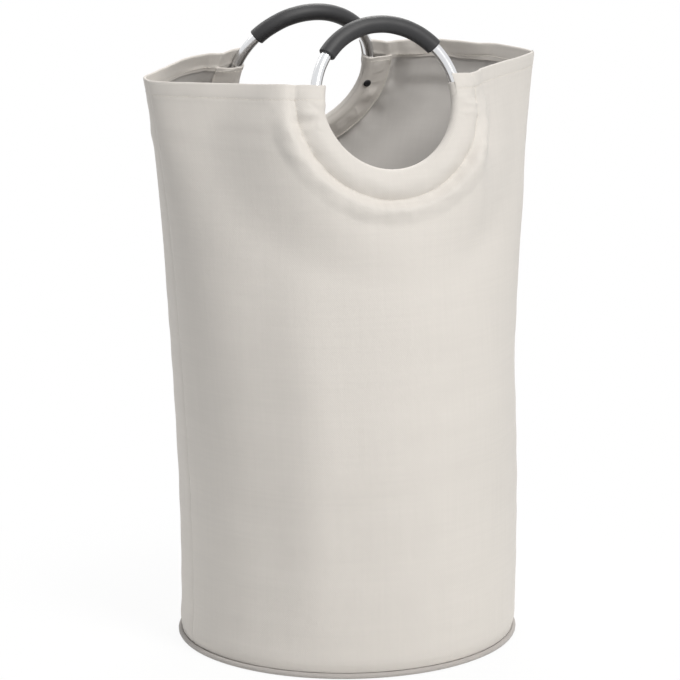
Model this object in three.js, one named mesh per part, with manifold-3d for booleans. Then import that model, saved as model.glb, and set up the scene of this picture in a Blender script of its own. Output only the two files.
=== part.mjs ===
// A tall laundry bag of coated cloth that stands on a stiff round base, with two handles.
// Each handle is a ring of bent tube whose lower arc lies in a sewn tunnel and whose top wears a foam grip.
// Millimetres, +Z up. The origin is the middle of the underside, +X runs through the right side seam,
// and the front handle is at -Y.

import * as THREE from "three";
import { mergeVertices } from "three/addons/utils/BufferGeometryUtils.js";
import Module from "manifold-3d";

const wasm = await Module();
wasm.setup();

// Body
const BASE_RADIUS = 190;
const RIM_HEIGHT = 650;
const RIM_HALF_WIDTH = 233.6;
const PANEL_THICKNESS = 1.6;
const HEM_DEPTH = 20;
const HEM_THICKNESS = 2.8;
const SEWN_GAP = 0.3;

// How the round wall turns into a lens at the rim, whose girth stays nearly the same
const LEAN_SOFTNESS = 70;
const WIDEN_POWER_SHARE = 3.2;
const PINCH_POWER_SHARE = 2.8;
const RIM_POINT_SHARE = 1.6;
const FRONT_FULLNESS_SHARE = 1;
const BACK_FULLNESS_SHARE = 0.85;

// Side seams and the tape over them
const SEAM_TAPE_WIDTH = 18;
const SEAM_TAPE_THICKNESS = 1;

// Base
const PIPING_DIAMETER = 6;
const PIPING_REACH = 3.2;
const PIPING_CLOTH = 0.6;
const PIPING_LIFT = 0.2;
const PIPING_TAIL_GAP = 0.8;
const BASE_CLOTH = 1.2;
const BOARD_THICKNESS = 2.5;
const BOARD_INSET = 3;
const BASE_TAPE_HEIGHT = 12;
const BASE_TAPE_THICKNESS = 1.2;

// Handles
const RING_RADIUS = 83.3;
const RING_OFFSET = 120.3;
const TUBE_DIAMETER = 12;
const TUBE_WALL = 1;
const TUBE_END_GAP = 1;
const GRIP_DIAMETER = 19;
const JOINER_LENGTH = 30;
const FRONT_RING_DROP = 21.8;
const BACK_RING_DROP = 26.2;
const FRONT_LEAN_DEG = 18.4;
const BACK_LEAN_DEG = 25.9;
const GRIP_HALF_ANGLE_DEG = 50;

// Tunnels
const TUNNEL_DEPTH = 25.3;
const TUNNEL_CLOTH = 1.5;
const TUNNEL_EDGE_THICKNESS = 2.4;
const TUNNEL_EDGE_GAP = 0.4;
const TUNNEL_MOUTH_DROP = 15;
const TUNNEL_ARC_START_DEG = 60;

// Flat cloth round a tunnel, and the distance over which it passes into the round wall
const FLAT_ZONE_MARGIN = 6;
const FLAT_ZONE_FADE = 100;
const FRONT_RIM_FADE = 45;
const BACK_RIM_FADE = 100;
const FADE_POWER_SHARE = 8;

// Rivets
const RIVET_HEAD_DIAMETER = 8;
const RIVET_HEAD_HEIGHT = 2.2;
const RIVET_SHANK_DIAMETER = 3.4;
const RIVET_SHANK_LENGTH = 5;
const RIVET_ANGLE_DEG = 100;

// Fineness of the curved surfaces
const ROUND_STEP_COUNT = 48;
const WALL_ROW_COUNT = 14;
const HEM_ROW_COUNT = 2;
const RING_STEP_COUNT = 36;
const TUBE_SIDE_COUNT = 10;
const PIPING_SIDE_COUNT = 8;
const RIVET_SIDE_COUNT = 10;
const SLOPE_ANGLE_SHARE = 0.01;
const SLOPE_HEIGHT_SHARE = 0.004;
const CUT_OVERRUN = 60;

const TUBE_RADIUS = TUBE_DIAMETER / 2;
const TUNNEL_EDGE_RADIUS = RING_RADIUS + TUNNEL_DEPTH;
const PIPING_RADIUS = PIPING_DIAMETER / 2;
const PIPING_CENTRE_RADIUS = BASE_RADIUS + PIPING_REACH - PIPING_RADIUS;
const PIPING_CENTRE_HEIGHT = PIPING_LIFT + PIPING_RADIUS;
const WALL_FOOT_HEIGHT = PIPING_LIFT + PIPING_DIAMETER + SEWN_GAP;
const WALL_HEAD_HEIGHT = RIM_HEIGHT - HEM_DEPTH - SEWN_GAP;
const BASE_CLOTH_RADIUS = PIPING_CENTRE_RADIUS - PIPING_RADIUS - SEWN_GAP;

const radians = THREE.MathUtils.degToRad;
const between = THREE.MathUtils.lerp;

const FRONT = {
  name: "front",
  direction: -1,
  lean: radians(FRONT_LEAN_DEG),
  ringHeight: RIM_HEIGHT - FRONT_RING_DROP,
  fullnessShare: FRONT_FULLNESS_SHARE,
  rimFade: FRONT_RIM_FADE,
};
const BACK = {
  name: "back",
  direction: 1,
  lean: radians(BACK_LEAN_DEG),
  ringHeight: RIM_HEIGHT - BACK_RING_DROP,
  fullnessShare: BACK_FULLNESS_SHARE,
  rimFade: BACK_RIM_FADE,
};

function cloth(colour) {
  return new THREE.MeshStandardMaterial({ color: colour, roughness: 0.85, metalness: 0, side: THREE.DoubleSide });
}

const bodyCloth = cloth("#dbd4cc");
const casingCloth = cloth("#e4dfd8");
const tapeCloth = cloth("#cfc8bf");
const pipingCloth = cloth("#a9a29a");
const cordFibre = cloth("#eceae4");
const boardPlastic = new THREE.MeshStandardMaterial({ color: "#6d6a66", roughness: 0.7, metalness: 0 });
const tubeMetal = new THREE.MeshStandardMaterial({ color: "#d3d4d6", roughness: 0.25, metalness: 1 });
const gripFoam = new THREE.MeshStandardMaterial({ color: "#2f2f31", roughness: 0.8, metalness: 0 });
const blackPlastic = new THREE.MeshStandardMaterial({ color: "#17171a", roughness: 0.45, metalness: 0 });

// Distance of a handle's plane from the middle of the bag at a height
function ringPlaneDepth(side, height) {
  return RING_OFFSET - (height - side.ringHeight) * Math.tan(side.lean);
}

// The smaller of two lengths, rounded off where they are nearly equal
function softMin(first, second, softness) {
  const closeness = Math.max(softness - Math.abs(first - second), 0) / softness;
  return Math.min(first, second) - (closeness ** 2 * softness) / 4;
}

// Point of the wall's outer face. The angle runs from the right seam, 0, to the left seam, pi.
function wallPoint(side, angle, height) {
  const heightShare = height / RIM_HEIGHT;
  const pinchShare = heightShare ** PINCH_POWER_SHARE;
  const halfWidth = between(BASE_RADIUS, RIM_HALF_WIDTH, heightShare ** WIDEN_POWER_SHARE);
  const planeDepth = ringPlaneDepth(side, height);
  const halfDepth = softMin(BASE_RADIUS, planeDepth, LEAN_SOFTNESS);
  const across = Math.cos(angle);
  const x = halfWidth * Math.sign(across) * Math.abs(across) ** between(1, RIM_POINT_SHARE, pinchShare);
  const fullDepth = halfDepth * Math.abs(Math.sin(angle)) ** between(1, side.fullnessShare, pinchShare);
  const alongPlane = (height - side.ringHeight) / Math.cos(side.lean);
  const flatRadius = TUNNEL_EDGE_RADIUS + FLAT_ZONE_MARGIN;
  const distance = Math.hypot(x, alongPlane);
  const fade = between(FLAT_ZONE_FADE, side.rimFade, heightShare ** FADE_POWER_SHARE);
  const free = THREE.MathUtils.smoothstep(distance, flatRadius, flatRadius + fade);
  const depth = between(planeDepth, fullDepth, free);
  return new THREE.Vector3(x, side.direction * depth, height);
}

// Outward normal of the wall
function wallNormal(side, angle, height) {
  const turn = SLOPE_ANGLE_SHARE * Math.PI;
  const rise = SLOPE_HEIGHT_SHARE * RIM_HEIGHT;
  const before = wallPoint(side, Math.max(angle - turn, 0), height);
  const after = wallPoint(side, Math.min(angle + turn, Math.PI), height);
  const below = wallPoint(side, angle, Math.max(height - rise, 0));
  const above = wallPoint(side, angle, height + rise);
  return after.sub(before).cross(above.sub(below)).normalize().multiplyScalar(side.direction);
}

// Point at a depth behind the wall's outer face. On a side seam the two halves meet in a mitre.
function wallInset(side, angle, height, depth) {
  const point = wallPoint(side, angle, height);
  const normal = wallNormal(side, angle, height);
  const onSeam = Math.abs(Math.sin(angle)) < SLOPE_ANGLE_SHARE;
  if (onSeam) {
    point.x -= depth / normal.x;
    point.y = 0;
    return point;
  }
  return point.addScaledVector(normal, -depth);
}

// One closed sheet from two grids of points that lie face to face
function sheetBetween(outer, inner) {
  const rows = outer.length;
  const columns = outer[0].length;
  const points = [...outer.flat(), ...inner.flat()];
  const innerStart = rows * columns;
  const triangles = [];
  const quad = (a, b, c, d) => triangles.push(a, b, c, a, c, d);
  for (let row = 0; row + 1 < rows; row++) {
    for (let column = 0; column + 1 < columns; column++) {
      const a = row * columns + column;
      quad(a, a + 1, a + columns + 1, a + columns);
      const b = innerStart + a;
      quad(b, b + columns, b + columns + 1, b + 1);
    }
  }
  for (let column = 0; column + 1 < columns; column++) {
    const top = (rows - 1) * columns + column;
    quad(column, innerStart + column, innerStart + column + 1, column + 1);
    quad(top, top + 1, innerStart + top + 1, innerStart + top);
  }
  for (let row = 0; row + 1 < rows; row++) {
    const start = row * columns;
    const end = start + columns - 1;
    quad(start, start + columns, innerStart + start + columns, innerStart + start);
    quad(end, innerStart + end, innerStart + end + columns, end + columns);
  }
  const geometry = new THREE.BufferGeometry().setFromPoints(points);
  geometry.setIndex(triangles);
  return facingOut(geometry);
}

// Turns the faces of a closed body over where they point inwards
function facingOut(geometry) {
  const position = geometry.getAttribute("position");
  const index = geometry.getIndex();
  const corner = (i) => new THREE.Vector3().fromBufferAttribute(position, index.getX(i));
  let volume = 0;
  for (let i = 0; i < index.count; i += 3) {
    volume += corner(i).dot(corner(i + 1).cross(corner(i + 2)));
  }
  if (volume < 0) {
    for (let i = 0; i < index.count; i += 3) {
      const second = index.getX(i + 1);
      index.setX(i + 1, index.getX(i + 2));
      index.setX(i + 2, second);
    }
  }
  return geometry;
}

function solidOf(geometry) {
  const bare = geometry.clone();
  bare.deleteAttribute("normal");
  bare.deleteAttribute("uv");
  const merged = mergeVertices(bare);
  return new wasm.Manifold(
    new wasm.Mesh({
      numProp: 3,
      vertProperties: new Float32Array(merged.getAttribute("position").array),
      triVerts: new Uint32Array(merged.getIndex().array),
    }),
  );
}

function geometryOf(solid) {
  const mesh = solid.getMesh();
  const geometry = new THREE.BufferGeometry();
  geometry.setAttribute("position", new THREE.BufferAttribute(new Float32Array(mesh.vertProperties), 3));
  geometry.setIndex(new THREE.BufferAttribute(new Uint32Array(mesh.triVerts), 1));
  geometry.computeVertexNormals();
  return geometry;
}

function cutAway(geometry, ...cutters) {
  let solid = solidOf(geometry);
  for (const cutter of cutters) {
    solid = solid.subtract(solidOf(cutter));
  }
  return geometryOf(solid);
}

// Place of a handle: its ring lies in the local XZ plane, and local Z points up along the lean
function handlePlacement(side) {
  const turn = new THREE.Matrix4().makeRotationX(side.direction * side.lean);
  const shift = new THREE.Matrix4().makeTranslation(0, side.direction * RING_OFFSET, side.ringHeight);
  return shift.multiply(turn);
}

// Disc through a handle's plane, as wide as the tunnel and its gap
function tunnelCutter(side) {
  const radius = TUNNEL_EDGE_RADIUS + TUNNEL_EDGE_GAP;
  const disc = new THREE.CylinderGeometry(radius, radius, CUT_OVERRUN * 2, RING_STEP_COUNT);
  return disc.applyMatrix4(handlePlacement(side));
}

// Heights of the rows of points on the panels
function panelHeights() {
  const heights = [];
  for (let row = 0; row <= WALL_ROW_COUNT; row++) {
    heights.push(between(WALL_FOOT_HEIGHT, WALL_HEAD_HEIGHT, row / WALL_ROW_COUNT));
  }
  return heights;
}

// Half of the wall, from one side seam to the other
function panel(side) {
  const layer = (depth) => {
    const rows = [];
    for (const height of panelHeights()) {
      const points = [];
      for (let step = 0; step <= ROUND_STEP_COUNT / 2; step++) {
        const point = wallInset(side, (step / ROUND_STEP_COUNT) * 2 * Math.PI, height, depth);
        point.y = side.direction * Math.max(side.direction * point.y, SEWN_GAP / 2);
        points.push(point);
      }
      rows.push(points);
    }
    return rows;
  };
  return cutAway(sheetBetween(layer(0), layer(PANEL_THICKNESS)), tunnelCutter(side));
}

// Seam angle of a corner, 0 on the right and pi on the left
function cornerAngle(corner, angle) {
  return corner > 0 ? angle : Math.PI - angle;
}

// Folded hem round one side seam, from the front tunnel to the back tunnel
function rimBand(corner) {
  const steps = ROUND_STEP_COUNT / 4;
  const layer = (depth) => {
    const grid = [];
    for (let row = 0; row <= HEM_ROW_COUNT; row++) {
      const height = between(RIM_HEIGHT - HEM_DEPTH, RIM_HEIGHT, row / HEM_ROW_COUNT);
      const points = [];
      for (let step = -steps; step <= steps; step++) {
        const side = step < 0 ? FRONT : BACK;
        const angle = (Math.abs(step) / ROUND_STEP_COUNT) * 2 * Math.PI;
        points.push(wallInset(side, cornerAngle(corner, angle), height, depth));
      }
      grid.push(points);
    }
    return grid;
  };
  const outerDepth = (PANEL_THICKNESS - HEM_THICKNESS) / 2;
  const band = sheetBetween(layer(outerDepth), layer(outerDepth + HEM_THICKNESS));
  return cutAway(band, tunnelCutter(FRONT), tunnelCutter(BACK));
}

// Tape that covers a side seam on the inside. It lies along the panels' last facets on both sides.
function seamTape(corner) {
  const bottom = WALL_FOOT_HEIGHT + BASE_TAPE_HEIGHT + SEWN_GAP;
  const heights = [bottom, ...panelHeights().filter((height) => height > bottom)];
  const firstStep = cornerAngle(corner, (2 * Math.PI) / ROUND_STEP_COUNT);
  const layer = (depth) =>
    heights.map((height) => {
      const seam = wallInset(FRONT, cornerAngle(corner, 0), height, depth);
      const edge = (side) => {
        const along = wallInset(side, firstStep, height, depth).sub(seam).normalize();
        return seam.clone().addScaledVector(along, SEAM_TAPE_WIDTH / 2);
      };
      return [edge(FRONT), seam, edge(BACK)];
    });
  const outerDepth = PANEL_THICKNESS + SEWN_GAP;
  return sheetBetween(layer(outerDepth), layer(outerDepth + SEAM_TAPE_THICKNESS));
}

// Arc of a handle's ring. The angle is counted from the ring's top.
class RingArc extends THREE.Curve {
  constructor(from, to) {
    super();
    this.from = from;
    this.to = to;
  }

  getPoint(share, target = new THREE.Vector3()) {
    const angle = between(this.from, this.to, share);
    return target.set(Math.sin(angle), 0, Math.cos(angle)).multiplyScalar(RING_RADIUS);
  }
}

function polygon(radius, sides, from = 0, to = 2 * Math.PI) {
  const points = [];
  for (let side = 0; side < sides; side++) {
    const angle = between(from, to, side / sides);
    points.push(new THREE.Vector2(radius * Math.cos(angle), radius * Math.sin(angle)));
  }
  return points;
}

function sweptAlong(arc, outline, bore) {
  const shape = new THREE.Shape(outline);
  if (bore) {
    shape.holes.push(new THREE.Path(bore));
  }
  const steps = Math.round((Math.abs(arc.to - arc.from) / (2 * Math.PI)) * RING_STEP_COUNT);
  return new THREE.ExtrudeGeometry(shape, { steps, extrudePath: arc, bevelEnabled: false });
}

// Rod across the handle's plane, through the rivet's place
function rivetRod(corner, radius, from, to) {
  const rod = new THREE.CylinderGeometry(radius, radius, to - from, RIVET_SIDE_COUNT);
  const angle = corner * radians(RIVET_ANGLE_DEG);
  return rod.translate(RING_RADIUS * Math.sin(angle), (from + to) / 2, RING_RADIUS * Math.cos(angle));
}

// Drill for both rivets of a handle, from the tube's middle out through the cloth inside the bag
function rivetDrills(side) {
  const radius = RIVET_SHANK_DIAMETER / 2 + SEWN_GAP;
  const reach = -side.direction * (TUBE_RADIUS + TUNNEL_CLOTH + CUT_OVERRUN);
  return [-1, 1].map((corner) => rivetRod(corner, radius, Math.min(0, reach), Math.max(0, reach)));
}

function ringTube(side) {
  const gap = TUBE_END_GAP / 2 / RING_RADIUS;
  const arc = new RingArc(gap, 2 * Math.PI - gap);
  const bore = polygon(TUBE_RADIUS - TUBE_WALL, TUBE_SIDE_COUNT);
  return cutAway(sweptAlong(arc, polygon(TUBE_RADIUS, TUBE_SIDE_COUNT), bore), ...rivetDrills(side));
}

function ringJoiner() {
  const reach = JOINER_LENGTH / 2 / RING_RADIUS;
  return sweptAlong(new RingArc(-reach, reach), polygon(TUBE_RADIUS - TUBE_WALL - SEWN_GAP, TUBE_SIDE_COUNT));
}

function grip() {
  const reach = radians(GRIP_HALF_ANGLE_DEG);
  const bore = polygon(TUBE_RADIUS + SEWN_GAP, TUBE_SIDE_COUNT);
  return sweptAlong(new RingArc(-reach, reach), polygon(GRIP_DIAMETER / 2, TUBE_SIDE_COUNT), bore);
}

// Drop-shaped section of a tunnel: round over the tube, drawn to the sewn edge outside the ring
function tunnelOutline() {
  const roundRadius = TUBE_RADIUS + SEWN_GAP + TUNNEL_CLOTH;
  const halfEdge = TUNNEL_EDGE_THICKNESS / 2;
  const round = polygon(roundRadius, TUBE_SIDE_COUNT / 2, Math.PI / 2, (3 * Math.PI) / 2);
  const edge = [new THREE.Vector2(TUNNEL_DEPTH, -halfEdge), new THREE.Vector2(TUNNEL_DEPTH, halfEdge)];
  return [...round, new THREE.Vector2(0, -roundRadius), ...edge].map((p) => new THREE.Vector2(p.y, p.x));
}

// Sewn tunnel round a ring's lower arc. It ends at the rim outside, and lower down inside the bag.
function handleCasing(side) {
  const start = radians(TUNNEL_ARC_START_DEG);
  const arc = new RingArc(2 * Math.PI - start, start);
  const bore = polygon(TUBE_RADIUS + SEWN_GAP, TUBE_SIDE_COUNT);
  const tunnel = sweptAlong(arc, tunnelOutline(), bore);
  const size = TUNNEL_EDGE_RADIUS * 2 + CUT_OVERRUN;
  const above = new THREE.BoxGeometry(size, size, size);
  above.translate(0, 0, RIM_HEIGHT + size / 2);
  above.applyMatrix4(handlePlacement(side).invert());
  const mouth = (RIM_HEIGHT - TUNNEL_MOUTH_DROP - side.ringHeight) / Math.cos(side.lean);
  const inner = new THREE.BoxGeometry(size, size, size);
  inner.translate(0, (-side.direction * size) / 2, mouth + size / 2);
  return cutAway(tunnel, above, inner, ...rivetDrills(side));
}

// Push rivet from inside the bag through the tunnel's cloth into the tube
function rivet(side, corner) {
  const seat = TUBE_RADIUS + SEWN_GAP + TUNNEL_CLOTH + SEWN_GAP;
  const headRadius = RIVET_HEAD_DIAMETER / 2;
  const shankRadius = RIVET_SHANK_DIAMETER / 2;
  const foot = seat - RIVET_SHANK_LENGTH;
  const profile = [
    new THREE.Vector2(0, foot),
    new THREE.Vector2(shankRadius, foot),
    new THREE.Vector2(shankRadius, seat),
    new THREE.Vector2(headRadius, seat),
    new THREE.Vector2(headRadius, seat + RIVET_HEAD_HEIGHT / 2),
    new THREE.Vector2(headRadius / 2, seat + RIVET_HEAD_HEIGHT),
    new THREE.Vector2(0, seat + RIVET_HEAD_HEIGHT),
  ];
  const geometry = new THREE.LatheGeometry(profile, RIVET_SIDE_COUNT);
  if (side.direction > 0) {
    geometry.rotateX(Math.PI);
  }
  const angle = corner * radians(RIVET_ANGLE_DEG);
  return geometry.translate(RING_RADIUS * Math.sin(angle), 0, RING_RADIUS * Math.cos(angle));
}

// Body of revolution about the bag's middle, from points of radius and height that close on themselves
function turned(profile) {
  const points = [...profile, profile[0]].map(([radius, height]) => new THREE.Vector2(radius, height));
  return new THREE.LatheGeometry(points, ROUND_STEP_COUNT).rotateX(Math.PI / 2);
}

function disc(radius, bottom, thickness) {
  const round = new THREE.CylinderGeometry(radius, radius, thickness, ROUND_STEP_COUNT);
  return round.rotateX(Math.PI / 2).translate(0, 0, bottom + thickness / 2);
}

function pipingPoint(radius, angle) {
  return [PIPING_CENTRE_RADIUS + radius * Math.cos(angle), PIPING_CENTRE_HEIGHT + radius * Math.sin(angle)];
}

// Cloth strip folded round the filler cord. Its two edges face the base, where they are sewn in.
function pipingCover() {
  const inner = PIPING_RADIUS - PIPING_CLOTH;
  const opening = PIPING_TAIL_GAP / 2 / inner;
  const profile = [];
  for (let side = 0; side <= PIPING_SIDE_COUNT; side++) {
    const angle = between(opening - Math.PI, Math.PI - opening, side / PIPING_SIDE_COUNT);
    profile.push(pipingPoint(PIPING_RADIUS, angle));
  }
  for (let side = PIPING_SIDE_COUNT; side >= 0; side--) {
    const angle = between(opening - Math.PI, Math.PI - opening, side / PIPING_SIDE_COUNT);
    profile.push(pipingPoint(inner, angle));
  }
  return turned(profile);
}

function pipingCord() {
  const radius = PIPING_RADIUS - PIPING_CLOTH - SEWN_GAP;
  const profile = [];
  for (let side = 0; side < PIPING_SIDE_COUNT; side++) {
    profile.push(pipingPoint(radius, between(-Math.PI, Math.PI, side / PIPING_SIDE_COUNT)));
  }
  return turned(profile);
}

// Tape over the raw edges where the wall meets the base, inside the bag
function baseTape() {
  const outer = BASE_RADIUS - PANEL_THICKNESS - SEWN_GAP;
  const inner = outer - BASE_TAPE_THICKNESS;
  const top = WALL_FOOT_HEIGHT + BASE_TAPE_HEIGHT;
  return turned([
    [inner, WALL_FOOT_HEIGHT],
    [outer, WALL_FOOT_HEIGHT],
    [outer, top],
    [inner, top],
  ]);
}

function piece(name, geometry, material) {
  const mesh = new THREE.Mesh(geometry, material);
  mesh.name = name;
  return mesh;
}

function baseAssembly() {
  const group = new THREE.Group();
  const boardBottom = BASE_CLOTH + SEWN_GAP;
  const liningBottom = boardBottom + BOARD_THICKNESS + SEWN_GAP;
  group.add(
    piece("base_cloth", disc(BASE_CLOTH_RADIUS, 0, BASE_CLOTH), bodyCloth),
    piece("base_board", disc(BASE_CLOTH_RADIUS - BOARD_INSET, boardBottom, BOARD_THICKNESS), boardPlastic),
    piece("base_lining", disc(BASE_CLOTH_RADIUS, liningBottom, BASE_CLOTH), bodyCloth),
    piece("base_seam_tape", baseTape(), tapeCloth),
    piece("piping_cover", pipingCover(), pipingCloth),
    piece("piping_cord", pipingCord(), cordFibre),
  );
  return group;
}

function wallAssembly() {
  const group = new THREE.Group();
  for (const side of [FRONT, BACK]) {
    group.add(piece(`${side.name}_panel`, panel(side), bodyCloth));
  }
  for (const [name, corner] of [["left", -1], ["right", 1]]) {
    group.add(
      piece(`${name}_seam_tape`, seamTape(corner), tapeCloth),
      piece(`${name}_rim_band`, rimBand(corner), bodyCloth),
    );
  }
  return group;
}

function handleAssembly(side) {
  const group = new THREE.Group();
  group.position.set(0, side.direction * RING_OFFSET, side.ringHeight);
  group.rotation.x = side.direction * side.lean;
  group.add(
    piece(`${side.name}_handle_casing`, handleCasing(side), casingCloth),
    piece(`${side.name}_ring_tube`, ringTube(side), tubeMetal),
    piece(`${side.name}_ring_joiner`, ringJoiner(), blackPlastic),
    piece(`${side.name}_grip`, grip(), gripFoam),
    piece(`${side.name}_left_rivet`, rivet(side, -1), blackPlastic),
    piece(`${side.name}_right_rivet`, rivet(side, 1), blackPlastic),
  );
  return group;
}

const hamper = new THREE.Group();
hamper.add(baseAssembly(), wallAssembly(), handleAssembly(FRONT), handleAssembly(BACK));

export default hamper;
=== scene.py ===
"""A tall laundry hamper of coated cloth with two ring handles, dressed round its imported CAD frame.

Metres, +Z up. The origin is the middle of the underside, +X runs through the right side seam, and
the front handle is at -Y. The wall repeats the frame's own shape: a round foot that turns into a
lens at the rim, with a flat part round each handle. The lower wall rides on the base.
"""

import logging
import math
from abc import ABC, abstractmethod
from collections.abc import Callable, Sequence
from dataclasses import dataclass
from enum import Enum

import bmesh
import bpy
import numpy as np
from bmesh.types import BMesh, BMVert
from bpy.types import Material, Node, NodeSocket, NodeTree, Object, World
from mathutils import Matrix, Vector, noise


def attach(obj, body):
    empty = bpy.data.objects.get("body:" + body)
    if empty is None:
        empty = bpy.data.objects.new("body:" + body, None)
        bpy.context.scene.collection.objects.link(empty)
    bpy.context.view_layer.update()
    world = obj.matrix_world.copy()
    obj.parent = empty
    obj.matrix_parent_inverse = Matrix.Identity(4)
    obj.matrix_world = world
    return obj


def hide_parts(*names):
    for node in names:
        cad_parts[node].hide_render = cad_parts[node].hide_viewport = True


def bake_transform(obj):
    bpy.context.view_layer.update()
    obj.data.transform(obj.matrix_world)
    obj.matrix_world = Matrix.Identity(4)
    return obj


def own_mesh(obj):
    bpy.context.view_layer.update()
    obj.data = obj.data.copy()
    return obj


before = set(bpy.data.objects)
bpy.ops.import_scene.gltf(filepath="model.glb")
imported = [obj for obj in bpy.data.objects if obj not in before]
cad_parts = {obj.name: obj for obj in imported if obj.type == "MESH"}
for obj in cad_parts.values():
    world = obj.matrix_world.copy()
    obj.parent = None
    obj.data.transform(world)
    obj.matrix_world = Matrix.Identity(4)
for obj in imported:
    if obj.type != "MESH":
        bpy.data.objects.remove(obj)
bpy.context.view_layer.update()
log = logging.getLogger("hamper")

MM = 0.001
FULL_TURN = 2 * math.pi
SHARP_ANGLE = math.radians(50)
# Creases run where the noise is nearer to 0 than this.
CREASE_SHARE = 0.085
# Tolerances: of a length, of the sine at a side seam, and of the angle of a grip's end.
NO_LENGTH, ON_SEAM, ON_END = 1e-12, 1e-6, 1e-4

Array = np.ndarray
Values = Array | float
Layout = tuple[Array, Array, Array, Array]
Wobble = Callable[[Vector], Vector] | None


class Corner(Enum):
    """A side seam of the bag, with the sign of its X."""

    LEFT = -1
    RIGHT = 1


class Slot(Enum):
    """The record's material slots."""

    CLOTH = "coated_cloth"
    TAPE = "tape_cloth"
    PIPING = "piping_cloth"
    CORD = "cord_fibre"
    METAL = "ring_metal"
    GRIP = "grip_foam"
    PLASTIC = "black_plastic"


# Small helpers


def linear(hex_colour: str) -> tuple[float, float, float, float]:
    """Turns an sRGB hex colour into linear RGBA.

    Args:
        hex_colour: Colour written as #rrggbb.

    Returns:
        Linear red, green, blue and an alpha of 1.
    """
    parts = [int(hex_colour[i : i + 2], 16) / 255 for i in (1, 3, 5)]
    red, green, blue = (c / 12.92 if c <= 0.04045 else ((c + 0.055) / 1.055) ** 2.4 for c in parts)
    return red, green, blue, 1.0


def add_node(tree: NodeTree, kind: str, inputs: dict | None = None, **settings) -> Node:
    """Adds a node to a tree, with its settings, its input values and its links.

    Args:
        tree: The node tree of a material or world.
        kind: Blender's name of the node type.
        inputs: Input name or number to its value, or to the socket that feeds it. A node stands
            for its first output.
        settings: Properties of the node itself.

    Returns:
        The new node.
    """
    node = tree.nodes.new(kind)
    for name, value in settings.items():
        setattr(node, name, value)
    for name, value in (inputs or {}).items():
        if isinstance(value, Node):
            value = value.outputs[0]
        if isinstance(value, NodeSocket):
            tree.links.new(value, node.inputs[name])
        else:
            node.inputs[name].default_value = value
    return node


def blank_tree(owner: Material | World) -> NodeTree:
    """Gives a material or world an empty node tree."""
    owner.use_nodes = True
    owner.node_tree.nodes.clear()
    return owner.node_tree


def smoothstep(value: Values, low: float, high: float) -> Values:
    """Rises smoothly from 0 at low to 1 at high."""
    share = np.clip((value - low) / (high - low), 0, 1)
    return share * share * (3 - 2 * share)


def between(first: Values, second: Values, share: Values) -> Values:
    """Value at a share of the way from the first to the second."""
    return first + (second - first) * share


def bell(value: Values, middle: float, width: float) -> Values:
    """Smooth bump of height 1 round a middle value."""
    return np.exp(-(((value - middle) / width) ** 2))


@dataclass(frozen=True)
class Ruffle:
    """Uneven lift of cloth, as humps of noise with a height and a wavelength."""

    height: float
    wavelength: float
    seed: float = 0.0
    stretch: tuple[float, float, float] = (1.0, 1.0, 1.0)

    def noise(self, points: Array, seed: float) -> Array:
        """Smooth noise from about -1 to 1 at each point.

        Args:
            points: Array of points whose last axis is x, y, z.
            seed: Shift that picks another stretch of the noise.

        Returns:
            Array of one value for each point.
        """
        flat = (points * self.stretch).reshape(-1, 3) / self.wavelength + (seed + self.seed)
        return np.array([noise.noise(Vector(p)) for p in flat]).reshape(points.shape[:-1])

    def waves(self, points: Array, seed: float = 0.0) -> Array:
        """Lift of soft waves at each point."""
        return self.height * self.noise(points, seed)

    def creases(self, points: Array, seed: float = 0.0) -> Array:
        """Lift of thin winding creases: the height along their middle, and 0 away from them."""
        return self.height * np.exp(-((self.noise(points, seed) / CREASE_SHARE) ** 2))


# Finishes


@dataclass(frozen=True)
class Finish(ABC):
    """A real surface with a name, a colour and a roughness."""

    name: str
    colour: str
    roughness: float

    def material(self) -> Material:
        """Builds the material.

        Returns:
            The new material, with its shader linked to its output.
        """
        made = bpy.data.materials.new(self.name)
        tree = blank_tree(made)
        add_node(tree, "ShaderNodeOutputMaterial", {"Surface": self.shader(tree)})
        return made

    @abstractmethod
    def shader(self, tree: NodeTree) -> Node:
        """Builds the surface in a tree, and returns its shader."""

    def varied(self, tree: NodeTree, noises: Sequence[Node], low: float, high: float) -> Node:
        """Fits the sum of two noises, which runs from about 0.6 to 1.4, between two values.

        Args:
            tree: The material's node tree.
            noises: The two noises.
            low: Value where their sum is low.
            high: Value where it is high.

        Returns:
            The node that gives the value.
        """
        both = add_node(tree, "ShaderNodeMath", dict(enumerate(noises)), operation="ADD")
        span = {"From Min": 0.6, "From Max": 1.4, "To Min": low, "To Max": high}
        return add_node(tree, "ShaderNodeMapRange", {"Value": both, **span})

    def shaded(self, tree: NodeTree, shade: Node) -> Node:
        """Multiplies the colour by a shade."""
        inputs = {0: linear(self.colour)[:3], "Scale": shade}
        return add_node(tree, "ShaderNodeVectorMath", inputs, operation="SCALE")


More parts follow.
